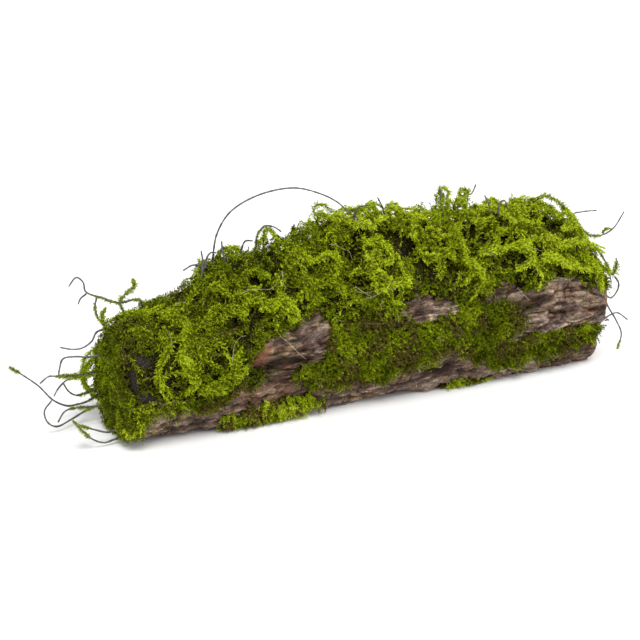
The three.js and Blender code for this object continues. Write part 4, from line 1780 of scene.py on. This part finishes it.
@dataclass
class MossCover:
    """All the living moss: creeping ropes, filler, hanging strands and short pile."""

    material: Material
    seed: int = 20
    tufts_per_hollow: int = 16
    end_wall_tufts: int = 110
    standing_tint: float = 0.66
    hanging_tint: float = 0.60

    def creeping(self, creep: Creep, patch: Patch, count: int, rng: Chance) -> MeshData:
        """Grow creeping shoots where thick moss lies.

        Args:
            creep: How they lie.
            patch: Where they root.
            count: How many roots are tried.
            rng: The source of chance.

        Returns:
            The shoots.
        """
        along, angle = patch.scatter(count, rng)
        open_space = 1.0 - 0.7 * MOSS.hollow(along, angle)
        domed = 0.35 + 0.65 * smooth_step(0.1, 0.5, MOSS.dome(along, angle))
        keep = MOSS.cover(along, angle) * open_space * domed
        along, angle = thinned(along, angle, keep, rng)
        return shoots_mesh(creep.paths(along, angle, rng), creep.style, rng)

    def facing(self, along: Span, line: tuple, side: float, count: int, rng: Chance) -> MeshData:
        """Grow short tufts on the steep edge of the moss.

        Args:
            along: The stretch of the log.
            line: One of the moss's hems.
            side: 1 where the moss lies above that hem in angle, or -1.
            count: How many roots are tried.
            rng: The source of chance.

        Returns:
            The tufts.
        """
        place = rng.uniform(*along, count)
        angle = along_line(line, place) + side * (np.abs(rng.normal(0.0, 6.0, count)) - 2.0)
        place, angle = thinned(place, angle, smooth_step(0.1, 0.4, MOSS.cover(place, angle)), rng)
        base = rng.uniform(0.15, 0.75, len(place)) * MOSS.depth(place, angle)
        tufts = Stand(PILE, (5.0, 9.5), 0.6, 0.5, 0.47)
        return shoots_mesh(tufts.paths(place, angle, base, rng), PILE, rng)

    def undergrowth(self, along: Span, angles: Span, rng: Chance) -> MeshData:
        """Grow short tufts at the bottom of each hollow, tinted dark as painted shade.

        Args:
            along: The stretch of the log.
            angles: The stretch of angles.
            rng: The source of chance.

        Returns:
            The tufts.
        """
        inside = [hollow for hollow in MOSS.hollows
                  if along[0] <= hollow[0] < along[1] and angles[0] <= hollow[1] < angles[1]]
        per = self.tufts_per_hollow
        middle = np.repeat(np.array(inside or [(0.0, 0.0, 0.0)], float), per, axis=0)
        place = middle[:, 0] + middle[:, 2] * rng.normal(0.0, 0.55, len(middle))
        reach = arc_reach(middle[:, 0])
        angle = middle[:, 1] + np.degrees(middle[:, 2] * rng.normal(0.0, 0.55, len(middle)) / reach)
        place, angle = thinned(place, angle, smooth_step(0.5, 0.2, MOSS.gap(place, angle)), rng)
        base = 0.55 * MOSS.depth(place, angle)
        # Painted shade: the tufts deep in the hollows get a dark tint.
        tufts = Stand(PILE, (4.0, 8.0), 0.8, 0.2, 0.28 + 0.14 * float(freshness(along[1])))
        return shoots_mesh(tufts.paths(place, angle, base, rng), PILE, rng)

    def end_wall(self, angles: Span, count: int, rng: Chance) -> MeshData:
        """Grow the short tufts of the moss's cut face over the right sawn end.

        Args:
            angles: The stretch of angles.
            count: How many tufts.
            rng: The source of chance.

        Returns:
            The tufts.
        """
        angle = rng.uniform(*angles, count)
        place = np.full(count, HALF_LENGTH - 3.5)
        base = rng.uniform(0.0, 0.75, count) * MOSS.depth(place, angle)
        tufts = Stand(PILE, (5.0, 10.0), 0.5, 0.6, 0.50, heading=(1.0, 0.0, 0.0))
        return shoots_mesh(tufts.paths(place, angle, base, rng), PILE, rng)

    def pile(self, patch: PilePatch, rng: Chance) -> MeshData:
        """Grow the short shoots that stand on the bark of a patch.

        Args:
            patch: Where they stand.
            rng: The source of chance.

        Returns:
            The shoots.
        """
        first, last = patch.ends()
        lows, highs = np.array(patch.lower)[:, 1], np.array(patch.upper)[:, 1]
        along, angle = Patch((first, last), (lows.min(), highs.max())).scatter(2 * patch.count, rng)
        along, angle = thinned(along, angle, patch.cover(along, angle), rng)
        stand = Stand(PILE, patch.length, 0.5, 0.3, patch.tint)
        along, angle = along[:patch.count], angle[:patch.count]
        return shoots_mesh(stand.paths(along, angle, np.full(len(along), 1.0), rng), PILE, rng)

    def make(self, name: str, parts: list[MeshData], *nodes: str) -> None:
        """Join shoots into one piece.

        Args:
            name: The piece's name.
            parts: Its shoots.
            nodes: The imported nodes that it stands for.
        """
        mesh = joined(parts)
        LOG.info("%s: %d triangles", name, mesh.triangle_count())
        finish_piece(make_object(name, mesh, self.material, smooth=False), Slot.MOSS, *nodes)

    def heap(self, name: str, along: Span, angles: Span, ropes: int, filler: int, *nodes: str) -> None:
        """Build one stretch of the thick moss.

        Args:
            name: The piece's name.
            along: The stretch of the log.
            angles: The stretch of angles.
            ropes: How many roots of long ropes are tried.
            filler: The same for the short shoots under them.
            nodes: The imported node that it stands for.
        """
        rng = np.random.default_rng([self.seed, int(along[0] + 1000), int(angles[0] + 1000)])
        patch = Patch(along, angles)
        # Painted shade: the filler shoots under the ropes get a darker tint than the ropes over them.
        long_ropes = Creep(ROPE, (28.0, 55.0), 0.72, 0.92, (-2.0, 3.0), tint=0.60)
        under = Creep(THIN, (14.0, 30.0), 0.55, 0.95, (-2.0, 2.0), tint=0.50, arch=2.5)
        parts = [self.creeping(long_ropes, patch, ropes, rng), self.creeping(under, patch, filler, rng)]
        parts.append(self.undergrowth(along, angles, rng))
        if angles[0] < 60:
            parts.append(self.facing(along, MOSS.hem_front, 1.0, 2 * filler, rng))
        if angles[1] > 200:
            parts.append(self.facing(along, MOSS.hem_back, -1.0, filler, rng))
        if along[1] >= HALF_LENGTH:
            covered = (max(angles[0], 30.0), min(angles[1], 180.0))
            parts.append(self.end_wall(covered, 2 * self.end_wall_tufts, rng))
        self.make(name, parts, *nodes)

    def build(self) -> None:
        """Build every moss piece."""
        self.heap("moss_crown_left", (-240, -128), (-40, 225), 300, 380, "moss_heap_left")
        self.heap("moss_crown_middle_front", (-128, 64), (20, 100), 270, 360, "moss_heap_middle")
        self.heap("moss_crown_middle_back", (-128, 64), (100, 180), 180, 220, "moss_heap_middle")
        self.heap("moss_crown_right_front", (64, 240), (20, 100), 246, 360, "moss_heap_right")
        self.heap("moss_crown_right_back", (64, 240), (100, 180), 160, 200, "moss_heap_right")
        self.heap("moss_back_drape", (-208, 240), (180, 225), 110, 140, "moss_back_skirt")
        self.end_cap()
        self.piles()
        self.swags()
        self.placed()

    def end_cap(self) -> None:
        """Build the ropes that lie over the left sawn end."""
        rng = np.random.default_rng([self.seed, 1])
        patch = Patch((-292, -240), (-90, 270))
        ropes = Creep(THIN, (18.0, 36.0), 0.6, 1.0, (0.0, 3.0), downhill=0.2, tint=0.56)
        dark = self.undergrowth(patch.along, patch.angles, rng)
        self.make("moss_end_ropes", [self.creeping(ropes, patch, 840, rng), dark], "moss_cap_left_end")

    def piles(self) -> None:
        """Build the short pile on the front, in the groove and along the lower edge."""
        for number, patch in enumerate(PILES):
            rng = np.random.default_rng([self.seed, 40 + number])
            self.make(patch.piece, [self.pile(patch, rng)], patch.node)

    def swags(self) -> None:
        """Build the thick bright ropes that lie over the heaps on their listed routes."""
        rng = np.random.default_rng([self.seed, 4])
        count = SWAG.nodes
        paths = []
        for route in SWAGS:
            flat = smooth_route(tuple((x, angle, 0.0) for x, angle in route), count)
            along, angle = flat[:, 0], flat[:, 1]
            depth = MOSS.depth(along, angle)
            level = 0.35 * depth + 0.65 * depth.max()
            sway = 1.5 * rng.normal(0.0, 1.0, 2)
            for offset in (0.0, 3.4):
                height = level + 2.5 - 0.6 * offset
                paths.append(over_moss(along + sway[0] + offset, angle + sway[1] + offset, height))
        points = np.stack(paths)
        ups = np.broadcast_to(unit(np.array([0.1, -0.6, 0.8])), points.shape)
        tints = 0.61 + 0.09 * freshness(points[:, 0, 0]) + rng.normal(0.0, 0.05, len(points))
        self.make("moss_swags", [shoots_mesh(Paths(points, ups, tints), SWAG, rng)])

    def placed(self) -> None:
        """Build the ropes that stand or hang clear of the heaps, on their listed routes."""
        rng = np.random.default_rng([self.seed, 3])
        routes = tuple(tuple((x, y, z) for x, z in line) for y, line in FLAT_ROPES) + LOOSE_ROPES
        standing = shoots_mesh(shoots_through(routes, SWAG, self.standing_tint), SWAG, rng)
        self.make("moss_standing_ropes", [standing])
        hanging = shoots_mesh(shoots_through(END_STRANDS, SWAG, self.hanging_tint), SWAG, rng)
        self.make("moss_end_strands", [hanging], "moss_lip_right_end")


# ---- wiry stems


@dataclass(frozen=True)
class WiryStem:
    """One wiry stem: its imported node, its route in the log's frame, root first, and its moss.

    leafy lists stretches that carry moss: a start and an end, as shares of the way along, and
    the length of the barbs.
    """

    node: str
    route: tuple
    leafy: tuple = ()
    root_radius: float = 1.0
    tip_radius: float = 0.7
    sides: int = 7

    def line(self) -> Array:
        """Return the stem's centre line, with about one point for each millimetre."""
        length = np.linalg.norm(np.diff(np.array(self.route, float), axis=0), axis=1).sum()
        return smooth_route(self.route, max(int(length), 12))

    def tube(self) -> MeshData:
        """Return the stem as a closed tube that tapers, with small knobs along it.

        The rings lie across the line, and their radius falls evenly from root to tip, times
        one plus a little noise.

        Returns:
            The tube.
        """
        line = self.line()
        share = np.linspace(0.0, 1.0, len(line))
        forward = unit(np.gradient(line, axis=0))
        side = unit(np.cross(forward, np.array([0.05, 1.0, 0.1])))
        up = np.cross(side, forward)
        knobs = 1.0 + 0.22 * fractal_noise(line / 3.1, Pattern.STEM_KNOBS, 2)
        radius = (self.root_radius + (self.tip_radius - self.root_radius) * share) * knobs
        turn = 2 * np.pi * np.arange(self.sides) / self.sides
        ring = np.cos(turn)[None, :, None] * side[:, None] - np.sin(turn)[None, :, None] * up[:, None]
        rings = line[:, None] + ring * radius[:, None, None]
        ends = (line[0] - forward[0] * 0.4, line[-1] + forward[-1] * 0.5)
        return wrapped_skin(rings, 0.04 + 0.92 * share, np.linspace(0.02, 0.98, self.sides + 1), ends)

    def leaves(self, rng: Chance) -> list[MeshData]:
        """Grow the moss on the stem.

        Args:
            rng: The source of chance.

        Returns:
            A mesh for each leafy stretch.
        """
        meshes = []
        line = self.line()
        for start, end, barb in self.leafy:
            first, last = int(start * (len(line) - 1)), int(end * (len(line) - 1))
            stretch = line[first:last + 1]
            dense = 4 if barb < 4.0 else 7
            style = ShootStyle(barbs=max(dense * len(stretch), 16), leaves=5, barb_length=barb,
                               leaf_length=1.8, leaf_width=0.8, spread=62, nodes=len(stretch))
            ups = np.broadcast_to(unit(np.array([0.1, -0.5, 0.85])), (1, *stretch.shape))
            meshes.append(leaves_on(Paths(stretch[None], ups, np.array([0.58])), style, rng))
        return meshes


# Each stem's node, route and leafy stretches, and its radius at the root where it is thinner.
STEMS = tuple(WiryStem(*row) for row in (
    ("stem_arch", ((-135, 28, 132), (-135, 25, 147), (-133, 20, 166), (-122, 16, 185), (-98, 10, 199),
     (-64, 6, 203), (-40, 2, 196), (-24, -2, 187), (-13, -5, 176)), (), 0.95),
    ("stem_top_curl_left", ((-96, 19, 146), (-94, 18, 160), (-88, 15, 168), (-81, 12, 167),
     (-74, 11, 162)), ((0.0, 0.4, 2.4),)),
    ("stem_top_hook_left", ((-113, 15, 146), (-110, 10, 158), (-105, 5, 159))),
    ("stem_top_sprig_left", ((-131, 8, 142), (-133, 9, 153), (-133, 10, 161))),
    ("stem_shoulder_curl", ((-152, 4, 140), (-150, 4, 150), (-146, 4, 154), (-141, 4, 153))),
    ("stem_shoulder_sprig", ((-158, -2, 134), (-156, -1, 147), (-157, 0, 158))),
    ("stem_shoulder_low", ((-145, 20, 124), (-149, 21, 136), (-156, 23, 138), (-165, 24, 134))),
    ("stem_middle_sprig", ((34, 10, 156), (27, 5, 173), (19, 0, 185))),
    ("stem_middle_hook", ((-1, 12, 162), (3, 6, 176), (11, 0, 179))),
    ("stem_ball_tail", ((112, 8, 162), (122, 13, 171), (130, 17, 171), (136, 20, 178)),
     ((0.0, 0.35, 2.6),)),
    ("stem_tall_strand", ((90, 0, 152), (87, 0, 166), (85, 0, 185)), ((0.0, 0.8, 2.4),)),
    ("stem_right_spike", ((143, 0, 152), (140, 2, 163), (137, 5, 171))),
    ("stem_right_loop", ((146, -6, 151), (147, -6, 164), (152, -6, 167), (157, -6, 157))),
    ("stem_crown_right", ((228, 0, 126), (237, 3, 139), (253, 11, 138), (277, 20, 134)),
     ((0.0, 0.3, 2.0),)),
    ("stem_sweep_right", ((226, -6, 121), (239, -6, 128), (252, -6, 119), (268, -6, 117),
     (280, -7, 123), (289, -10, 139)), ((0.0, 0.3, 2.6), (0.3, 0.58, 3.6))),
    ("stem_sweep_right_twig", ((267, -6, 119), (272, -6, 123), (279, -5, 121)), ((0.0, 0.8, 2.4),)),
    ("stem_drape_right", ((230, -28, 113), (241, -31, 115), (250, -34, 104), (255, -37, 92),
     (258, -39, 79)), ((0.0, 0.55, 2.6), (0.6, 0.85, 4.0))),
    ("stem_tuft_right", ((259, -36, 86), (263, -36, 88), (265, -36, 94), (264, -36, 102)),
     ((0.0, 0.85, 6.0),)),
    ("stem_ring_right", ((262, -39, 84), (266, -40, 77), (264, -41, 70), (256, -42, 64),
     (250, -40, 69))),
    ("stem_fall_right", ((241, -43, 70), (247, -43, 66), (253, -44, 55), (262, -46, 40), (267, -48, 27),
     (262, -50, 13)), ((0.0, 0.1, 2.0), (0.9, 1.0, 2.0))),
    ("stem_rim_hook_right", ((241, -48, 43), (250, -48, 48), (260, -48, 50), (273, -48, 41))),
    ("stem_hook_left", ((-207, 10, 107), (-214, 10, 118), (-232, 10, 118), (-248, 10, 125),
     (-262, 10, 133), (-264, 10, 142), (-270, 10, 147), (-277, 10, 140)),
     ((0.0, 0.22, 3.2), (0.22, 0.5, 2.4))),
    ("stem_hook_left_twig", ((-261, 12, 130), (-265, 16, 125), (-266, 20, 119))),
    ("stem_hook_left_branch", ((-252, 11, 125), (-255, 8, 118), (-254, 5, 110), (-250, 3, 103)),
     ((0.2, 1.0, 2.0),)),
    ("stem_strand_left", ((-245, -2, 95), (-251, -2, 105), (-252, -2, 113), (-249, -4, 121)),
     ((0.0, 0.95, 4.6),)),
    ("stem_shoulder_left", ((-228, 3, 107), (-233, 4, 120), (-227, 6, 127), (-218, 8, 132),
     (-219, 9, 139)), ((0.0, 0.30, 2.6), (0.28, 0.42, 5.0), (0.48, 0.95, 4.4))),
    ("stem_left_step", ((-244, 12, 95), (-252, 15, 92), (-256, 18, 83), (-264, 21, 77), (-272, 24, 76),
     (-282, 28, 78))),
    ("stem_left_crook", ((-244, 12, 72), (-259, 14, 70), (-273, 16, 72), (-283, 18, 71), (-286, 20, 62),
     (-286, 22, 54), (-277, 24, 50))),
    ("stem_left_long", ((-245, 37, 24), (-259, 31, 21), (-271, 26, 22), (-281, 20, 25), (-295, 14, 35),
     (-310, 7, 54), (-325, 0, 69), (-338, -6, 81)), ((0.0, 0.12, 2.4), (0.90, 1.0, 2.8))),
    ("stem_left_mossy", ((-245, 26, 51), (-262, 23, 51), (-278, 18, 54), (-290, 14, 57), (-299, 12, 59),
     (-307, 12, 54)), ((0.0, 0.62, 4.6),)),
    ("stem_left_loop", ((-244, 28, 18), (-260, 30, 13), (-276, 27, 8), (-291, 22, 6), (-300, 19, 13),
     (-303, 17, 25), (-297, 14, 35)), ((0.0, 0.2, 2.0),)),
    ("stem_left_low_fork", ((-245, 18, 21), (-260, 20, 20), (-276, 15, 24), (-287, 10, 24),
     (-295, 4, 18)), ((0.25, 0.6, 2.6),)),
    ("stem_left_sprig", ((-245, 36, 31), (-259, 34, 28), (-269, 31, 29), (-277, 27, 36),
     (-282, 24, 45)), ((0.0, 0.45, 2.8),)),
    ("stem_left_droop", ((-245, 33, 44), (-264, 33, 45), (-276, 33, 44), (-284, 34, 37),
     (-288, 35, 30)), ((0.0, 0.45, 2.8),)),
    ("stem_floor_curl", ((-244, -24, 6), (-253, -25, 5), (-263, -26, 4), (-273, -27, 9),
     (-281, -28, 17), (-292, -30, 32)), ((0.0, 0.2, 2.0), (0.68, 1.0, 3.0))),
    ("stem_floor_sprig", ((-245, -17, 12), (-256, -19, 10), (-272, -22, 17), (-288, -26, 26)),
     ((0.72, 1.0, 2.4),)),
))


# Loose fibres, each a row of (place along the log, angle) points.
FIBRES = (
    ((-39, 81), (-29, 76), (-22, 69)), ((-93, 72), (-97, 62), (-95, 59)),
    ((-138, 63), (-111, 62), (-97, 66)),
    ((-29, 52), (-15, 50), (-12, 48)), ((-33, 52), (-21, 45), (-29, 44)), ((-21, 45), (-6, 47), (11, 48)),
    ((-12, 40), (-7, 44)), ((-50, 54), (-44, 50)), ((-48, 41), (-44, 38), (-38, 37)),
    ((-22, 33), (-12, 31), (-1, 30)), ((10, 39), (10, 34), (10, 28)), ((-107, 34), (-93, 20), (-82, 12)),
    ((-157, 21), (-154, 32), (-146, 37), (-139, 37)), ((-204, 55), (-206, 45), (-206, 38)),
    ((-189, 77), (-178, 74)), ((112, 44), (117, 36)), ((144, 42), (147, 34), (153, 28)),
    ((188, 46), (199, 40), (207, 33)), ((151, 57), (172, 57)), ((107, 60), (121, 58)),
)


@dataclass
class StemSet:
    """All the wiry stems, the moss on them, and the loose pale fibres over the heaps."""

    stem_material: Material
    moss_material: Material
    fibre_material: Material

    def fibres(self) -> None:
        """Build the thin dry fibres that lie loose over the moss and the bark."""
        tubes = []
        for route in FIBRES:
            flat = smooth_route(tuple((x, angle, 0.0) for x, angle in route), 12)
            along, angle = flat[:, 0], flat[:, 1]
            depth = MOSS.depth(along, angle)
            lift = 2.0 + 2.5 * np.sin(np.pi * np.linspace(0.0, 1.0, len(flat)))
            line = over_moss(along, angle, 0.4 * depth + 0.6 * depth.max() + lift)
            points = tuple(map(tuple, line[::2]))
            tubes.append(WiryStem("fibre", points, root_radius=0.30, tip_radius=0.16, sides=5).tube())
        finish_piece(make_object("dry_fibres", joined(tubes), self.fibre_material, smooth=True), Slot.STEM)

    def build(self) -> None:
        """Build a tube for every stem and one piece for all the moss on them."""
        rng = np.random.default_rng(33)
        leaves = []
        for stem in STEMS:
            name = stem.node.replace("stem_", "wiry_")
            piece = make_object(name, stem.tube(), self.stem_material, smooth=True)
            finish_piece(piece, Slot.STEM, stem.node)
            leaves += stem.leaves(rng)
        finish_piece(make_object("stem_moss", joined(leaves), self.moss_material, smooth=False), Slot.MOSS)
        self.fibres()


# ---- studio


@dataclass(frozen=True)
class Studio:
    """A pale floor, soft light and the camera."""

    azimuth: float = -26.0
    elevation: float = 20.0
    distance: float = 1650.0
    target: tuple = (-40.0, 0.0, 74.5)
    lens: float = 100.0
    sensor: float = 36.0
    floor_half: float = 6.0
    sky: float = 0.74

    def back(self) -> Array:
        """Work out where the camera stands.

        Returns:
            The unit vector from the target to the camera.
        """
        turn, rise = math.radians(self.azimuth), math.radians(self.elevation)
        level = math.cos(rise)
        return np.array([math.sin(turn) * level, -math.cos(turn) * level, math.sin(rise)])

    def camera(self) -> None:
        """Create the camera and make it the scene's."""
        place = PLACEMENT.to_metres(np.array(self.target) + self.back() * self.distance)
        data = bpy.data.cameras.new("camera")
        data.lens = self.lens
        data.sensor_width = self.sensor
        camera = in_scene("camera", data)
        camera.location = place
        camera.rotation_euler = Vector(-self.back()).to_track_quat("-Z", "Y").to_euler()
        bpy.context.scene.camera = camera

    def floor(self) -> None:
        """Create the pale floor."""
        mesh = bpy.data.meshes.new("floor")
        half = self.floor_half
        corners = [(-half, -half, 0), (half, -half, 0), (half, half, 0), (-half, half, 0)]
        mesh.from_pydata(corners, [], [(0, 1, 2, 3)])
        material, _tree, shader = new_material("pale_floor")
        shader.inputs["Base Color"].default_value = (0.9, 0.9, 0.9, 1.0)
        shader.inputs["Roughness"].default_value = 0.9
        mesh.materials.append(material)
        floor = in_scene("floor", mesh)

    def sun(self, name: str, place: tuple, strength: float, softness: float) -> None:
        """Create one soft distant light.

        Args:
            name: Its name.
            place: The direction that it shines from.
            strength: Its power.
            softness: How wide it looks, in degrees.
        """
        data = bpy.data.lights.new(name, "SUN")
        data.energy = strength
        data.angle = math.radians(softness)
        lamp = in_scene(name, data)
        lamp.location = place
        lamp.rotation_euler = (-Vector(place)).to_track_quat("-Z", "Y").to_euler()

    def build(self) -> None:
        """Set up the camera, the floor, the lamps and the sky."""
        scene = bpy.context.scene
        scene.view_settings.view_transform = "Standard"
        self.camera()
        self.floor()
        self.sun("key", (-0.20, -0.70, 1.30), 2.35, 30.0)
        self.sun("fill", (0.9, -0.9, 0.8), 0.75, 60.0)
        world = bpy.data.worlds.new("sky")
        world.use_nodes = True
        sky = world.node_tree.nodes["Background"]
        sky.inputs["Color"].default_value = (1.0, 1.0, 1.0, 1.0)
        sky.inputs["Strength"].default_value = self.sky
        scene.world = world


def main() -> None:
    """Build the whole scene in order."""
    logging.basicConfig(level=logging.INFO, format="%(name)s %(message)s")
    Studio().build()
    BarkLog().build(BarkFinish().make())
    MossBed().build(BedFinish().make())
    leaf = LeafFinish().make()
    MossCover(leaf).build()
    fibre = StemFinish("dry_fibre", (0.14, 0.12, 0.06), (0.32, 0.28, 0.15), (0.50, 0.45, 0.30))
    StemSet(StemFinish().make(), leaf, fibre.make()).build()


if __name__ == "__main__":
    main()
